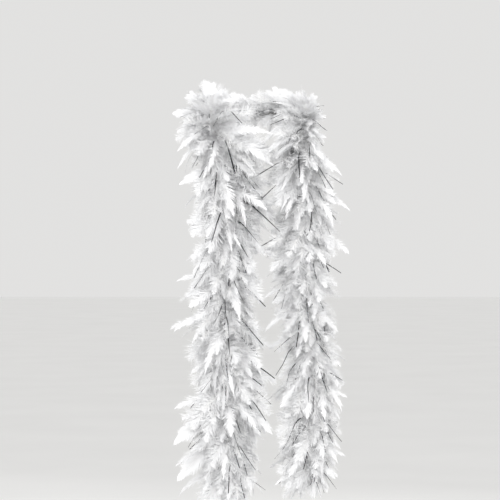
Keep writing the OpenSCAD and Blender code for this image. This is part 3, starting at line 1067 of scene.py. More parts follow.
class FeatherTree:
    """Geometry tree: barbs on both sides of a quill, along the line it is given."""

    def __init__(self) -> None:
        """Builds the tree with its named inputs."""
        g, ins = Graph.geometry("feather", {
            "Barbs": 50, "Barb width": 0.0011, "Angle jitter": 0.12, "Length jitter": 0.15, "Lift": 0.1,
            "Quill radius": 0.0006, "Seed": 1, "Barb shapes": "Collection"})
        line = g.out("GeometryNodeMeshToCurve", {0: ins["Geometry"]})
        barbs = self.barbs(g, line, ins)
        quill = self.quill(g, line, ins)
        both = g.add("GeometryNodeJoinGeometry")
        g.tree.links.new(barbs, both.inputs[0])
        g.tree.links.new(quill, both.inputs[0])
        g.finish(both.outputs[0], ins["Material"])
        self.tree = g.tree

    def barbs(self, g: Graph, line: Socket, ins: Any) -> Socket:
        """Sets ribbons along both sides of the quill, at the angles and lengths that it carries.

        Args:
            g: the tree.
            line: the quill's line.
            ins: the tree's inputs.

        Returns:
            The barbs, as instances.
        """
        curve = g.out("GeometryNodeResampleCurve", {"Curve": line, "Count": ins["Barbs"]}, mode="COUNT")
        curve = g.store(curve, "ahead", g.out("GeometryNodeInputTangent"), "FLOAT_VECTOR")
        points = g.out("GeometryNodeCurveToPoints", {"Curve": curve}, mode="EVALUATED")
        shortest = 0.0015
        twice = g.add("GeometryNodeDuplicateElements", {"Geometry": points, "Amount": 2}, domain="POINT")
        way = g.math("SUBTRACT", g.math("MULTIPLY", twice.outputs["Duplicate Index"], 2.0), 1.0)
        ahead, face = g.named("ahead"), g.named("face")
        side = g.vec("SCALE", g.vec("CROSS_PRODUCT", face, ahead), way)
        jitter = g.random(-1.0, 1.0, ins["Seed"])
        angle = g.math("ADD", g.named("angle", "FLOAT"), g.math("MULTIPLY", jitter, ins["Angle jitter"]))
        flat = g.vec("ADD", g.vec("SCALE", ahead, g.math("COSINE", angle)),
                     g.vec("SCALE", side, g.math("SINE", angle)))
        seed2 = g.math("ADD", ins["Seed"], 11.0)
        lift = g.math("MULTIPLY", g.random(-0.6, 1.0, seed2), ins["Lift"])
        forth = g.vec("ADD", flat, g.vec("SCALE", face, lift))
        turn = g.axes(forth, face)
        seed3 = g.math("ADD", ins["Seed"], 23.0)
        longer = g.math("ADD", 1.0, g.math("MULTIPLY", g.random(-1.0, 1.0, seed3), ins["Length jitter"]))
        length = g.math("MULTIPLY", g.named("reach", "FLOAT"), longer)
        mirrored = g.math("MULTIPLY", ins["Barb width"], way)
        size = g.out("ShaderNodeCombineXYZ", {0: length, 1: mirrored, 2: length})
        shapes = g.shapes(ins["Barb shapes"])
        pick = g.random(0, 5, g.math("ADD", ins["Seed"], 5.0), "INT")
        placed = g.out("GeometryNodeInstanceOnPoints", {
            "Points": twice.outputs["Geometry"], "Instance": shapes, "Pick Instance": True,
            "Selection": g.math("GREATER_THAN", length, shortest),
            "Instance Index": pick, "Rotation": turn, "Scale": size})
        return g.store(placed, "tone", g.random(0.0, 1.0, g.math("ADD", ins["Seed"], 31.0)),
                       domain="INSTANCE")

    def quill(self, g: Graph, line: Socket, ins: Any) -> Socket:
        """Makes the quill, thin at its tip.

        Args:
            g: the tree.
            line: the quill's line.
            ins: the tree's inputs.

        Returns:
            The quill.
        """
        curve = g.out("GeometryNodeResampleCurve", {"Curve": line, "Count": 9}, mode="COUNT")
        t = g.add("GeometryNodeSplineParameter").outputs["Factor"]
        curve = g.store(curve, "along", t)
        curve = g.store(curve, "tone", 1.0)
        thin = g.span(t, 0.0, 1.0, 1.0, 0.25)
        ring = g.out("GeometryNodeCurvePrimitiveCircle", {"Resolution": 3, "Radius": ins["Quill radius"]})
        return g.out("GeometryNodeCurveToMesh", {"Curve": curve, "Profile Curve": ring, "Scale": thin,
                                                 "Fill Caps": False})


def finish_set(g: Graph, placed: Socket, ins: Any, seed: Any) -> None:
    """Makes what is set on the points into mesh, with its map and its finish.

    Args:
        g: the tree.
        placed: the feathers or strands, as instances.
        ins: the tree's inputs.
        seed: seed of each one's shade.
    """
    placed = g.store(placed, "shade", g.random(0.0, 1.0, seed), domain="INSTANCE")
    done = g.out("GeometryNodeRealizeInstances", {"Geometry": placed})
    tone = g.named("tone", "FLOAT")
    mixed = g.math("ADD", g.math("MULTIPLY", tone, 0.5), g.math("MULTIPLY", g.named("shade", "FLOAT"), 0.42))
    v = g.math("ADD", mixed, g.math("MULTIPLY", g.named("across", "FLOAT"), 0.03))
    quill = g.math("GREATER_THAN", tone, 0.999)
    v = g.out("ShaderNodeMix", {0: quill, 1: g.math("ADD", v, 0.02), 2: 0.985}, data_type="FLOAT")
    done = g.store(done, "OFBake", g.out("ShaderNodeCombineXYZ", {0: g.named("along", "FLOAT"), 1: v}),
                   "FLOAT2", "CORNER")
    g.finish(done, ins["Material"])


class ScatterTree:
    """Geometry tree: feathers, plumes or strands set round the cord, at the turn of a sunflower's seeds."""

    def __init__(self) -> None:
        """Builds the tree with its named inputs."""
        g, ins = Graph.geometry("set round the cord", {
            "Spacing": 0.002, "Smallest": 0.85, "Largest": 1.15, "Twist": 0.3, "Root": 0.002,
            "Facing": 0.5, "Seed": 1, "Kinds": "Collection"})
        curve = g.out("GeometryNodeMeshToCurve", {0: ins["Geometry"]})
        curve = g.out("GeometryNodeResampleCurve", {"Curve": curve, "Length": ins["Spacing"]},
                      mode="LENGTH")
        points = g.out("GeometryNodeCurveToPoints", {"Curve": curve}, mode="EVALUATED")
        fall, away = g.vec("NORMALIZE", g.named("fall")), g.named("away")
        index = g.out("GeometryNodeInputIndex")
        seed = [g.math("ADD", ins["Seed"], float(k * 17)) for k in range(7)]
        turn = g.math("ADD", g.math("MULTIPLY", index, GOLDEN), g.random(-0.7, 0.7, seed[0]))
        out = g.out("ShaderNodeVectorRotate", {"Vector": g.named("side"), "Axis": fall, "Angle": turn},
                    rotation_type="AXIS_ANGLE")
        out = g.vec("NORMALIZE", g.vec("ADD", out, away))
        jitter = g.math("MULTIPLY", g.random(-1.0, 1.0, seed[1]), g.named("spread", "FLOAT"))
        lean = g.math("ADD", g.named("lean", "FLOAT"), jitter)
        depth = g.math("ABSOLUTE", g.vec("DOT_PRODUCT", out, (0.0, 1.0, 0.0)))
        lean = g.math("SUBTRACT", lean, g.math("MULTIPLY", depth, g.named("flat", "FLOAT")))
        forth = g.vec("ADD", g.vec("SCALE", fall, g.math("COSINE", lean)),
                      g.vec("SCALE", out, g.math("SINE", lean)))
        up = g.vec("SUBTRACT", g.vec("SCALE", out, g.math("COSINE", lean)),
                   g.vec("SCALE", fall, g.math("SINE", lean)))
        up = g.vec("ADD", up, g.vec("SCALE", (0.0, -1.0, 0.0), ins["Facing"]))
        turned = g.axes(forth, up)
        low = g.vec("SCALE", (-1.0, -0.5, -0.6), ins["Twist"])
        high = g.vec("SCALE", (1.0, 0.5, 0.6), ins["Twist"])
        wild = g.random(low, high, seed[2], "FLOAT_VECTOR")
        turned = g.out("FunctionNodeRotateRotation", {
            "Rotation": turned, "Rotate By": g.out("FunctionNodeEulerToRotation", {0: wild})},
            rotation_space="LOCAL")
        size = g.random(ins["Smallest"], ins["Largest"], seed[3])
        size = g.math("MULTIPLY", size, g.named("size", "FLOAT"))
        size = g.math("MULTIPLY", size, g.math("ADD", 1.0, g.vec("DOT_PRODUCT", out, g.named("bias"))))
        kinds = g.shapes(ins["Kinds"])
        points = g.out("GeometryNodeSetPosition", {"Geometry": points,
                                                   "Offset": g.vec("SCALE", forth, ins["Root"])})
        placed = g.out("GeometryNodeInstanceOnPoints", {
            "Points": points, "Instance": kinds, "Pick Instance": True,
            "Instance Index": g.random(0, 999, seed[4], "INT"), "Rotation": turned,
            "Scale": g.out("ShaderNodeCombineXYZ", {0: size, 1: size, 2: size})})
        finish_set(g, placed, ins, seed[5])
        self.tree = g.tree


class PlaceTree:
    """Geometry tree: one feather on each point, turned as the point says."""

    def __init__(self) -> None:
        """Builds the tree with its named inputs."""
        g, ins = Graph.geometry("set by hand", {"Seed": 1, "Kinds": "Collection"})
        turned = g.axes(g.named("forth"), g.named("up"))
        kinds = g.shapes(ins["Kinds"])
        size, width = g.named("size", "FLOAT"), g.named("width", "FLOAT")
        placed = g.out("GeometryNodeInstanceOnPoints", {
            "Points": ins["Geometry"], "Instance": kinds, "Pick Instance": True,
            "Instance Index": g.named("kind", "FLOAT"), "Rotation": turned,
            "Scale": g.out("ShaderNodeCombineXYZ", {0: size, 1: width, 2: size})})
        finish_set(g, placed, ins, ins["Seed"])
        self.tree = g.tree


@dataclass(frozen=True)
class FeatherKind:
    """The measures of one kind of feather, in metres and degrees.

    Attributes:
        length: quill length.
        bare: share of the quill with no barbs.
        fluff: length of the soft barbs low on the quill.
        vane: half width of the vane at its broadest.
        broadest: share of the quill where the vane is broadest.
        root_angle, tip_angle: angle of the barbs to the quill at its foot and tip.
        droop: how far the quill bends down over its length.
        sway: how far it bends sideways.
        roll: largest turn of the vane about the quill, either way.
        twist: further turn of the vane from foot to tip.
        barbs: stations of barbs along the quill.
        width: breadth of a barb's ribbon.
        angle_jitter, length_jitter, lift: how unlike each other the barbs are.
        clump: how far neighbouring barbs stick together.
        quill: radius of the quill at its foot.
        pointed: 0.5 for a round tip, 1 for one that narrows in a straight line.
    """

    name: str
    length: float
    vane: float
    fluff: float
    bare: float = 0.12
    broadest: float = 0.55
    root_angle: float = 60
    tip_angle: float = 16
    droop: float = 45
    sway: float = 20
    roll: float = 50
    twist: float = 40
    barbs: int = 92
    width: float = 0.0013
    angle_jitter: float = 0.14
    length_jitter: float = 0.18
    lift: float = 0.14
    clump: float = 0.10
    quill: float = 0.0007
    pointed: float = 0.55

    POINTS = 25

    def line(self, rng: np.random.Generator) -> dict[str, np.ndarray]:
        """One quill of this kind, with its own bend and roll.

        Args:
            rng: the source of this feather's own shape.

        Returns:
            The quill's points, and on each the vane's face, the barbs' length and their angle.
        """
        n = self.POINTS
        t = np.linspace(0, 1, n)
        droop = math.radians(self.droop * rng.uniform(0.4, 1.5))
        sway = math.radians(self.sway * rng.uniform(-1, 1))
        pitch, yaw = -droop * t**1.4, sway * t**1.6
        ahead = np.stack([np.cos(pitch) * np.cos(yaw), np.cos(pitch) * np.sin(yaw), np.sin(pitch)], -1)
        step = self.length * rng.uniform(0.9, 1.1) / (n - 1)
        points = np.vstack([[0, 0, 0], np.cumsum(ahead[:-1] * step, axis=0)])
        roll = math.radians(rng.uniform(-1, 1) * self.roll) + math.radians(
            rng.uniform(-1, 1) * self.twist) * t
        up = across(np.tile([0, 0, 1.0], (n, 1)), ahead)
        side = np.cross(up, ahead)
        face = np.cos(roll)[:, None] * up + np.sin(roll)[:, None] * side
        rise = np.clip((t - self.bare) / max(self.broadest - self.bare, 0.05), 0, 1)
        tip = np.clip((1 - t) / (1 - self.broadest), 0, 1)
        vane = self.vane * np.minimum(np.sin(rise * math.pi / 2), 1) * tip**self.pointed
        low = np.clip((t - 0.04) / 0.08, 0, 1) * np.clip((self.broadest + 0.05 - t) / 0.3, 0, 1)
        fluff = self.fluff * low
        wave = 1 + self.clump * np.sin(t * rng.uniform(16, 30) + rng.uniform(0, 6))
        reach = np.maximum(vane, fluff) * wave
        reach = reach / np.maximum(np.sin(np.radians(self.angles(t))), 0.45)
        angle = np.radians(self.angles(t)) + self.clump * np.sin(t * rng.uniform(24, 40) + rng.uniform(0, 6))
        return {"points": points, "face": face, "reach": reach, "angle": angle}

    def angles(self, t: np.ndarray) -> np.ndarray:
        """The barbs' angle to the quill at the shares t of its length, in degrees."""
        return self.root_angle + (self.tip_angle - self.root_angle) * t**0.8


POINTED = FeatherKind("pointed", 0.110, 0.015, 0.026, broadest=0.5, tip_angle=20, angle_jitter=0.16,
                      droop=34, pointed=0.95)
LONG = FeatherKind("long", 0.126, 0.012, 0.024, broadest=0.42, tip_angle=17, angle_jitter=0.14,
                   droop=48, pointed=1.0, barbs=100)
LOOSE = FeatherKind("loose", 0.102, 0.020, 0.030, broadest=0.5, tip_angle=27, angle_jitter=0.3,
                    length_jitter=0.3, lift=0.35, droop=38, pointed=0.8)
WISPY = FeatherKind("wispy", 0.094, 0.024, 0.032, broadest=0.45, tip_angle=32, angle_jitter=0.38,
                    length_jitter=0.4, lift=0.5, droop=45, width=0.0010, pointed=0.7)
CURLED = FeatherKind("curled", 0.098, 0.013, 0.022, droop=125, roll=60, pointed=0.8)
BROAD = FeatherKind("broad", 0.088, 0.018, 0.020, broadest=0.62, tip_angle=28, droop=30, roll=45,
                    root_angle=50, barbs=104, width=0.0017, angle_jitter=0.05, length_jitter=0.07, lift=0.04)
PLUME = FeatherKind("plume", 0.078, 0.024, 0.034, bare=0.05, broadest=0.4, root_angle=80, tip_angle=34,
                    droop=40, barbs=60, width=0.0011, angle_jitter=0.4, length_jitter=0.35, lift=0.5,
                    clump=0.2, quill=0.0004, pointed=0.6)
TAIL_FEATHERS = ((POINTED, 5), (LONG, 4), (LOOSE, 8), (WISPY, 6), (CURLED, 1))
THROAT_FEATHERS = ((POINTED, 4), (LONG, 3), (LOOSE, 5), (WISPY, 4), (BROAD, 2), (CURLED, 1))
COLLAR_FEATHERS = ((BROAD, 8), (LOOSE, 4), (POINTED, 3), (CURLED, 1))
PLUMES = ((PLUME, 12),)


class Stand(Enum):
    """The sorts of feather that are set one by one."""

    VANE = FeatherKind("vane", 0.085, 0.021, 0.016, bare=0.06, broadest=0.6, root_angle=46, tip_angle=30,
                       droop=22, sway=8, roll=8, twist=12, barbs=130, width=0.0016, angle_jitter=0.03,
                       length_jitter=0.05, lift=0.02, clump=0.10, quill=0.0007, pointed=0.5)
    LEAF = FeatherKind("leaf", 0.085, 0.011, 0.008, bare=0.06, broadest=0.5, root_angle=40, tip_angle=20,
                       droop=30, sway=12, roll=10, twist=25, barbs=120, width=0.0014, angle_jitter=0.05,
                       length_jitter=0.06, lift=0.03, clump=0.05, pointed=0.85)
    SPIKE = FeatherKind("spike", 0.085, 0.0035, 0.003, bare=0.05, broadest=0.3, root_angle=24, tip_angle=8,
                        droop=26, sway=10, barbs=60, width=0.0012, angle_jitter=0.1, pointed=1.0)
    HOOKED = FeatherKind("hooked", 0.115, 0.010, 0.008, bare=0.1, broadest=0.55, root_angle=45, tip_angle=22,
                         droop=120, sway=10, roll=8, twist=20, barbs=110, width=0.0013, pointed=0.9)
    RING = FeatherKind("ring", 0.150, 0.013, 0.012, bare=0.2, broadest=0.6, root_angle=48, tip_angle=25,
                       droop=300, sway=20, roll=8, twist=15, barbs=130, width=0.0014, pointed=0.8)


@dataclass(frozen=True)
class Placed:
    """One feather set one by one: its part of the boa, where it leaves the cord, its tip and sort.

    Attributes:
        body: the moving part it belongs to.
        s: where it leaves the cord, in metres from the left end.
        tip: where its tip points, in mm.
        sort: which feather.
        size: its length over that from root to tip.
        width: factor on its breadth.
        face: the way its face looks.
    """

    body: str
    s: float
    tip: Place
    sort: Stand
    size: float = 1.0
    width: float = 1.0
    face: Place = (0, -1, 0.2)


PLACED = (
    Placed("collar", 0.830, (-108, -70, 54), Stand.VANE, 1.05, 1.0),
    Placed("collar", 0.845, (-148, -50, 40), Stand.VANE, 1.0, 0.8),
    Placed("collar", 0.815, (-186, -60, 6), Stand.LEAF, 1.05, 1.3, (0.1, -1, 0.5)),
    Placed("collar", 0.805, (-170, -85, -34), Stand.LEAF, 1.05, 1.4, (0, -1, 0.4)),
    Placed("collar", 0.850, (-84, -40, 50), Stand.LEAF, 1.0, 1.2),
    Placed("collar", 0.820, (-128, -95, 22), Stand.VANE, 0.95, 0.9, (-0.2, -1, 0.3)),
    Placed("collar", 1.195, (42, -55, 46), Stand.VANE, 1.0, 0.75),
    Placed("collar", 1.185, (72, -45, 52), Stand.SPIKE, 1.0, 1.0),
    Placed("collar", 1.190, (100, -55, 58), Stand.SPIKE, 1.0, 1.0),
    Placed("collar", 1.210, (119, -70, 32), Stand.VANE, 1.0, 0.9),
    Placed("collar", 1.205, (64, -80, 34), Stand.VANE, 1.0, 1.0),
    Placed("collar", 1.220, (92, -95, 30), Stand.VANE, 0.95, 0.8),
    Placed("collar", 1.225, (135, -80, -8), Stand.LEAF, 1.0, 1.2, (0.3, -1, 0.3)),
    Placed("collar", 0.793, (-10, -112, -20), Stand.HOOKED, 1.1, 1.3, (0, -0.7, 1)),
    Placed("collar", 0.790, (-28, -118, -48), Stand.HOOKED, 1.1, 1.0, (0, -0.8, 1)),
    Placed("collar", 1.240, (10, -116, -30), Stand.HOOKED, 1.15, 0.5, (0, -0.6, 1)),
    Placed("collar", 1.242, (26, -118, -70), Stand.SPIKE, 1.2, 1.2, (0, -0.8, 1)),
    Placed("collar", 0.770, (6, -128, -74), Stand.HOOKED, 1.1, 1.2, (0, -0.8, 1)),
    Placed("left_upper", 0.712, (2, -130, -118), Stand.HOOKED, 1.1, 1.2, (0, -0.8, 0.8)),
    Placed("collar", 1.275, (18, -128, -84), Stand.HOOKED, 1.1, 0.9, (0, -0.8, 1)),
    Placed("left_upper", 0.560, (14, -168, -262), Stand.RING, 1.75, 1.6, (0, -0.35, 1)),
    Placed("left_upper", 0.690, (-160, -130, -150), Stand.LEAF, 1.05, 1.0),
    Placed("right_upper", 1.400, (40, -140, -190), Stand.HOOKED, 1.05, 1.0, (0, -0.7, 1)),
    Placed("left_lower", 0.180, (-169, -110, -715), Stand.LEAF, 1.1, 1.0, (0.2, -1, 0.1)),
    Placed("left_lower", 0.130, (-158, -120, -788), Stand.LEAF, 1.1, 1.1, (0.2, -1, 0.1)),
    Placed("left_middle", 0.420, (-165, -120, -335), Stand.HOOKED, 1.05, 1.0, (0, -0.7, 1)),
    Placed("right_lower", 1.880, (60, -130, -640), Stand.LEAF, 1.05, 0.9),
)


class Nursery:
    """Makes the shapes that the plumage is set from, and clears them away afterwards."""

    BARB_KNOTS = (0.0, 0.55, 1.0)

    def __init__(self) -> None:
        """Makes the feather tree and the barbs."""
        self.tree = FeatherTree().tree
        self.kept: list[bpy.types.Collection] = []
        self.barbs = self.collection("barb shapes")
        for k, shape in enumerate((BarbShape.STRAIGHT, BarbShape.BOWED, BarbShape.BOWED,
                                   BarbShape.CURLED, BarbShape.STRAIGHT, BarbShape.CURLED)):
            self.barb(f"barb {k}", shape, 1 if k % 2 else -1)

    def collection(self, name: str) -> bpy.types.Collection:
        """A new collection for shapes of one sort.

        Args:
            name: its name.

        Returns:
            The collection.
        """
        made = bpy.data.collections.new(name)
        bpy.context.scene.collection.children.link(made)
        self.kept.append(made)
        return made

    def keep(self, obj: bpy.types.Object, where: bpy.types.Collection) -> None:
        """Moves an object out of the scene's own collection.

        Args:
            obj: the object.
            where: the nursery's collection that it goes to.
        """
        for holder in list(obj.users_collection):
            holder.objects.unlink(obj)
        where.objects.link(obj)

    def barb(self, name: str, shape: BarbShape, way: int) -> None:
        """Makes one barb: a ribbon of unit length and breadth that narrows to a point.

        Args:
            name: its name.
            shape: how it bends.
            way: 1 if it lifts, -1 if it drops.
        """
        bow, lift, late = shape.value
        t = np.array(self.BARB_KNOTS)
        half = 0.5 * np.clip((1 - t) / (1 - late + 0.3), 0.0, 1)
        points, along, side = [], [], []
        for u, h in zip(t[:-1], half[:-1]):
            for edge in (-1, 1):
                points.append((u - bow * 0.3 * u * u, edge * h, way * lift * u * u))
                along.append(u)
                side.append(edge)
        points.append((1 - bow * 0.3, 0, way * lift))
        along.append(1)
        side.append(0)
        mesh = mesh_of(name, points, faces=[(0, 2, 3, 1), (2, 4, 3)])
        mesh.polygons.foreach_set("use_smooth", [True] * 2)
        set_attribute(mesh, "along", np.array(along, float))
        set_attribute(mesh, "across", np.array(side, float))
        obj = bpy.data.objects.new(name, mesh)
        self.barbs.objects.link(obj)

    def feathers(self, name: str, kinds: tuple[tuple[FeatherKind, int], ...],
                 seed: int) -> bpy.types.Collection:
        """A collection of feathers, some of each kind.

        Args:
            name: the collection's name.
            kinds: each kind, and how many different feathers of it.
            seed: seed of their shapes.

        Returns:
            The collection.
        """
        where = self.collection(name)
        rng = np.random.default_rng(seed)
        for kind, count in kinds:
            for k in range(count):
                line = kind.line(rng)
                feather = grown(guide_object(f"{kind.name} {k}", **line), self.tree, {
                    "Barbs": kind.barbs, "Barb width": kind.width, "Angle jitter": kind.angle_jitter,
                    "Length jitter": kind.length_jitter, "Lift": kind.lift, "Quill radius": kind.quill,
                    "Seed": seed + 101 * k, "Barb shapes": self.barbs}, f"{kind.name} {k}",
                    keep=("along", "across", "tone"))
                self.keep(feather, where)
        return where

    def clear(self) -> None:
        """Removes every shape and collection."""
        for where in self.kept:
            for obj in list(where.objects):
                discard(obj)
            bpy.data.collections.remove(where)
        self.kept.clear()


@dataclass(frozen=True)
class Layer:
    """One layer of plumage: how closely it is set round the cord, and how it stands.

    Attributes:
        name: start of its pieces' names.
        slot: the frame's material slot.
        node: start of the names of the CAD nodes that it stands for.
        spacing: distance along the cord from one feather or strand to the next.
        seed: seed of its places on the first length.
        lean: degrees added to the lean of the guide.
        spread: factor on its spread.
        hold: factor on how strongly they are pressed forward and out.
        flat: factor on how much flatter they lie in front and behind.
        twist: largest turn of each one out of its place, in radians.
    """

    name: str
    slot: str
    node: str
    spacing: float
    seed: int
    lean: float = 0.0
    spread: float = 1.0
    hold: float = 1.0
    flat: float = 1.0
    twist: float = 0.3


OUTER = Layer("feather_layer", "feather_vane", "feathers", 0.00112, 40)
INNER = Layer("down_layer", "feather_down", "down", 0.0014, 80, lean=12, spread=1.4, hold=0.45)
STRANDS = Layer("tinsel_strands", "tinsel_film", "tinsel", 0.0066, 120, lean=8, spread=0.6, flat=0.15,
                twist=0.2)


@dataclass
class Plumage:
    """Everything spun into the cord: outer feathers, inner down and tinsel.

    Attributes:
        step: distance between the guide's points.
        change: how far along the cord the fall turns from along it to straight down.
        full_reach: reach of the longest feathers' tips from the cord, in mm.
        soft: depth in which tips near the boa's greatest size bend back.
        clear: how far they stay inside it.
    """

    step: float = 0.008
    change: float = 0.07
    full_reach: float = 94.0
    soft: float = 0.022
    clear: float = 0.002

    # Fuller bunches along the cord: how much longer the feathers are, how far apart, and where they start.
    BUNCHES = ((0.09, 0.083, 0.6), (0.07, 0.147, 0.0))
    # How the feathers stand at distances past a collarbone, from the tail on the left of each row to
    # the nape on its right: lean and its spread in degrees, size, how much flatter they lie in front
    # and behind, and how strongly they are pressed forward, and away from the neck.
    PAST = (-0.10, -0.03, 0.02, 0.06, 0.10, 0.15, 0.30)
    LEAN = (70, 76, 86, 110, 130, 122, 104)
    SPREAD = (24, 28, 34, 38, 34, 40, 46)
    SIZE = (1.0, 1.0, 1.0, 0.84, 0.72, 0.76, 0.76)
    FLAT = (0.62, 0.55, 0.35, 0.1, 0.0, 0.0, 0.0)
    FRONT = (0.35, 0.5, 0.6, 0.4, 0.2, 0.0, 0.0)
    OUT = (0.0, 0.0, 0.1, 0.4, 0.55, 0.6, 0.7)
    LONGER_OUT = (0.0, 0.0, 0.0, 0.1, 0.1, 0.15, 0.35)
    # Height in mm, how far the tips reach from the cord, and the share that they reach more to the right.
    LEFT_OUTLINE = ((-840, 58, -0.2), (-800, 70, -0.26), (-700, 88, -0.24), (-590, 92, -0.02),
                    (-502, 93, 0.10), (-414, 88, 0.06), (-304, 80, -0.10), (-194, 92, 0.18),
                    (-84, 94, 0.26), (-40, 90, 0.22), (0, 72, 0.0), (20, 66, 0.0))
    RIGHT_OUTLINE = ((-840, 58, -0.2), (-761, 70, -0.25), (-634, 78, -0.26), (-502, 76, -0.04),
                     (-392, 72, -0.14), (-304, 80, -0.12), (-172, 80, -0.16), (-84, 80, -0.28),
                     (-40, 74, -0.4), (0, 60, -0.45), (20, 60, -0.3))

    def guide(self, part: CordLength) -> dict[str, np.ndarray]:
        """The line of one length and how its feathers stand on it.

        Args:
            part: the length.

        Returns:
            Points, and on each: the way the feathers fall, a side square to it, the way they are
            pressed, their lean from the fall, its spread, their size, and the way they are longer.
        """
        s = np.append(np.arange(part.start, part.end, self.step), part.end)
        points, ahead = ROUTE.place(s), ROUTE.ahead(s)
        lb, rb = ROUTE.mark(ROUTE.LEFT_COLLARBONE), ROUTE.mark(ROUTE.RIGHT_COLLARBONE)
        past = np.minimum(s - lb, rb - s)
        down = ahead * np.sign(s - (lb + rb) / 2 + 1e-9)[:, None]
        collar = np.clip(past / self.change + 0.5, 0, 1)[:, None]
        fall = unit(down * (1 - collar) + np.array([0, 0, -1.0]) * collar + np.array([0, 0, -0.15]))
        side = across(np.tile([1.0, 0, 0], (len(s), 1)), fall)
        radial = unit(points * np.array([1, 1, 0]))
        row = {key: np.interp(past, self.PAST, getattr(self, key))
               for key in ("LEAN", "SPREAD", "SIZE", "FLAT", "FRONT", "OUT", "LONGER_OUT")}
        eased = row["OUT"] * np.interp(points[:, 0], (0.0, 0.08), (1.0, 0.45))
        away = radial * eased[:, None] - np.array([0, 1.0, 0]) * row["FRONT"][:, None]
        outline = np.array(self.LEFT_OUTLINE if s.mean() < (lb + rb) / 2 else self.RIGHT_OUTLINE)
        reach = np.interp(points[:, 2] * 1000, outline[:, 0], outline[:, 1]) / self.full_reach
        right = np.interp(points[:, 2] * 1000, outline[:, 0], outline[:, 2])
        bias = radial * row["LONGER_OUT"][:, None] + np.array([1.0, 0, 0]) * right[:, None]
        return {"points": points, "fall": fall, "side": side, "away": away,
                "lean": np.radians(row["LEAN"]), "spread": np.radians(row["SPREAD"]),
                "flat": row["FLAT"], "size": row["SIZE"] * reach * self.bunches(s), "bias": bias}

    def bunches(self, s: np.ndarray) -> np.ndarray:
        """How much longer the feathers are in the fuller bunches along the cord."""
        return sum((much * np.sin(s * 2 * math.pi / apart + start) for much, apart, start in self.BUNCHES), 1)

    def kept_inside(self, obj: bpy.types.Object) -> None:
        """Bends the tips that would stand out of the boa's own space back along its sides.

        Args:
            obj: the piece whose tips they are.
        """
        mesh = obj.data
        points = np.empty(len(mesh.vertices) * 3)
        mesh.vertices.foreach_get("co", points)
        points = points.reshape(-1, 3)
        box = np.array(CAD_BOX)
        spare = 0.03 * (box[1] - box[0]) + 0.010 - self.clear
        for way, edge in ((-1, box[0] - spare), (1, box[1] + spare)):
            over = np.maximum(way * (points - edge) + self.soft, 0)
            points -= way * (over - self.soft * (1 - np.exp(-over / self.soft)))
        mesh.vertices.foreach_set("co", points.ravel())
        mesh.update()

    def set_layer(self, part: CordLength, layer: Layer, seed: int, kinds: bpy.types.Collection,
                  material: bpy.types.Material, tree: bpy.types.NodeTree) -> bpy.types.Object:
        """Sets one layer of plumage on one length.

        Args:
            part: the length.
            layer: the layer.
            seed: seed of its places on this length.
            kinds: the shapes that are set on it.
            material: its finish.
            tree: the tree that sets them.

        Returns:
            The layer as a mesh object.
        """
        line = self.guide(part)
        line["lean"] = line["lean"] + math.radians(layer.lean)
        line["spread"] = line["spread"] * layer.spread
        line["away"] = line["away"] * layer.hold
        line["flat"] = line["flat"] * layer.flat
        name = f"{layer.name}_{part.name}"
        piece = grown(guide_object(name, **line), tree, {
            "Spacing": layer.spacing, "Seed": seed, "Kinds": kinds, "Material": material,
            "Twist": layer.twist}, name)
        self.kept_inside(piece)
        return piece

    def build(self, lengths: list[CordLength]) -> None:
        """Sets the whole boa's plumage.

        Args:
            lengths: the boa's lengths.
        """
        nursery = Nursery()
        scatter = ScatterTree().tree
        tail = nursery.feathers("tail feathers", TAIL_FEATHERS, 3)
        collar = nursery.feathers("collar feathers", COLLAR_FEATHERS, 5)
        throat = nursery.feathers("throat feathers", THROAT_FEATHERS, 7)
        plumes = nursery.feathers("plumes", PLUMES, 9)
        tinsel = Tinsel().strands(nursery)
        vane = FeatherFinish("feather vane").build()
        # The down's greyer root colour is painted shade near the cord.
        down = FeatherFinish("feather down", root=(0.87, 0.868, 0.865), shade=(0.90, 0.905, 0.92),
                             light=(0.96, 0.96, 0.965), roughness=0.8, sheen=0.4).build()
        film = TinselFinish().build()
        for k, part in enumerate(lengths):
            feathers = tail
            if part.bodies == ("collar",):
                feathers = collar
            elif "collar" in part.bodies:
                feathers = throat
            for layer, kinds, material in ((OUTER, feathers, vane), (INNER, plumes, down),
                                           (STRANDS, tinsel, film)):
                piece = self.set_layer(part, layer, layer.seed + k, kinds, material, scatter)
                part.fasten(piece, layer.slot)
                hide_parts(*part.cad_nodes(layer.node))
        self.stood(nursery, vane)
        nursery.clear()

    def stood(self, nursery: Nursery, material: bpy.types.Material) -> None:
        """Sets the feathers that are placed one by one, as one piece for each moving part.

        Args:
            nursery: makes their shapes.
            material: their finish.
        """
        tree = PlaceTree().tree
        kinds = nursery.feathers("feathers set by hand", tuple((sort.value, 1) for sort in Stand), 31)
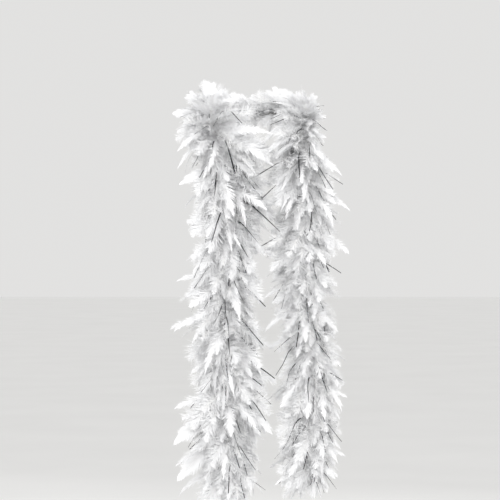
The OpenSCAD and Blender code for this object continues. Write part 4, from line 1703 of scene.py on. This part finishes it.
        # A tree takes a collection's shapes in the order of their names.
        order = sorted(sort.value.name for sort in Stand)
        for body in dict.fromkeys(p.body for p in PLACED):
            own = [p for p in PLACED if p.body == body]
            roots = ROUTE.place(np.array([p.s for p in own]))
            reach = np.array([p.tip for p in own]) / 1000 - roots
            length = np.linalg.norm(reach, axis=1)
            size = length * np.array([p.size for p in own])
            size = size / np.array([p.sort.value.length for p in own])
            name = f"set_feathers_{body}"
            spots = guide_object(
                name, roots, line=False, forth=unit(reach), size=size,
                up=np.array([p.face for p in own], float),
                width=size * np.array([p.width for p in own]),
                kind=np.array([order.index(p.sort.value.name) for p in own], float))
            piece = grown(spots, tree, {"Seed": 7, "Kinds": kinds, "Material": material}, name)
            self.kept_inside(piece)
            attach(piece, body)
            report(piece)


@dataclass(frozen=True)
class Tinsel:
    """Strands of silver film, straight, curved or kinked.

    Attributes:
        length: a strand's length.
        width: its breadth.
        count: number of different strands.
        points: points along each.
    """

    length: float = 0.128
    width: float = 0.0024
    count: int = 10
    points: int = 13

    def strands(self, nursery: Nursery) -> bpy.types.Collection:
        """Makes the strands.

        Args:
            nursery: keeps them.

        Returns:
            A collection of different strands.
        """
        where = nursery.collection("tinsel strands")
        rng = np.random.default_rng(21)
        n = self.points
        for k in range(self.count):
            t = np.linspace(0, 1, n)
            bend = rng.uniform(0.6, 1.15) * np.clip((t - 0.2) / 0.3, 0, 1)
            kink = rng.uniform(-0.5, 0.5) * (t > rng.uniform(0.6, 0.85)) * (k % 3 == 0)
            pitch = -bend + kink
            ahead = np.stack([np.cos(pitch), 0.12 * np.sin(2 * t + k), np.sin(pitch)], -1)
            ahead = unit(ahead) * self.length * rng.uniform(0.75, 1.05) / (n - 1)
            centre = np.vstack([[0, 0, 0], np.cumsum(ahead[:-1], axis=0)])
            roll = rng.uniform(0, math.pi) + t * rng.uniform(0.5, 2.5)
            flat = np.stack([0 * t, np.cos(roll), np.sin(roll)], -1) * self.width / 2
            edges = np.stack([centre - flat, centre + flat], 1).reshape(-1, 3)
            faces = [(2 * i, 2 * i + 2, 2 * i + 3, 2 * i + 1) for i in range(n - 1)]
            mesh = mesh_of(f"tinsel {k}", edges, faces=faces)
            set_attribute(mesh, "along", np.repeat(t, 2))
            set_attribute(mesh, "across", np.tile([-1.0, 1.0], n))
            set_attribute(mesh, "tone", np.full(2 * n, rng.uniform(0, 0.9)))
            where.objects.link(bpy.data.objects.new(f"tinsel {k}", mesh))
        return where


def main() -> None:
    """Builds the scene in order: camera, cords, plumage, light and floor."""
    logging.basicConfig(level=logging.INFO, format="%(message)s")
    studio = Studio()
    studio.camera()
    lengths = boa_lengths()
    CoreCord().build(lengths)
    Plumage().build(lengths)
    studio.build()


if __name__ == "__main__":
    main()
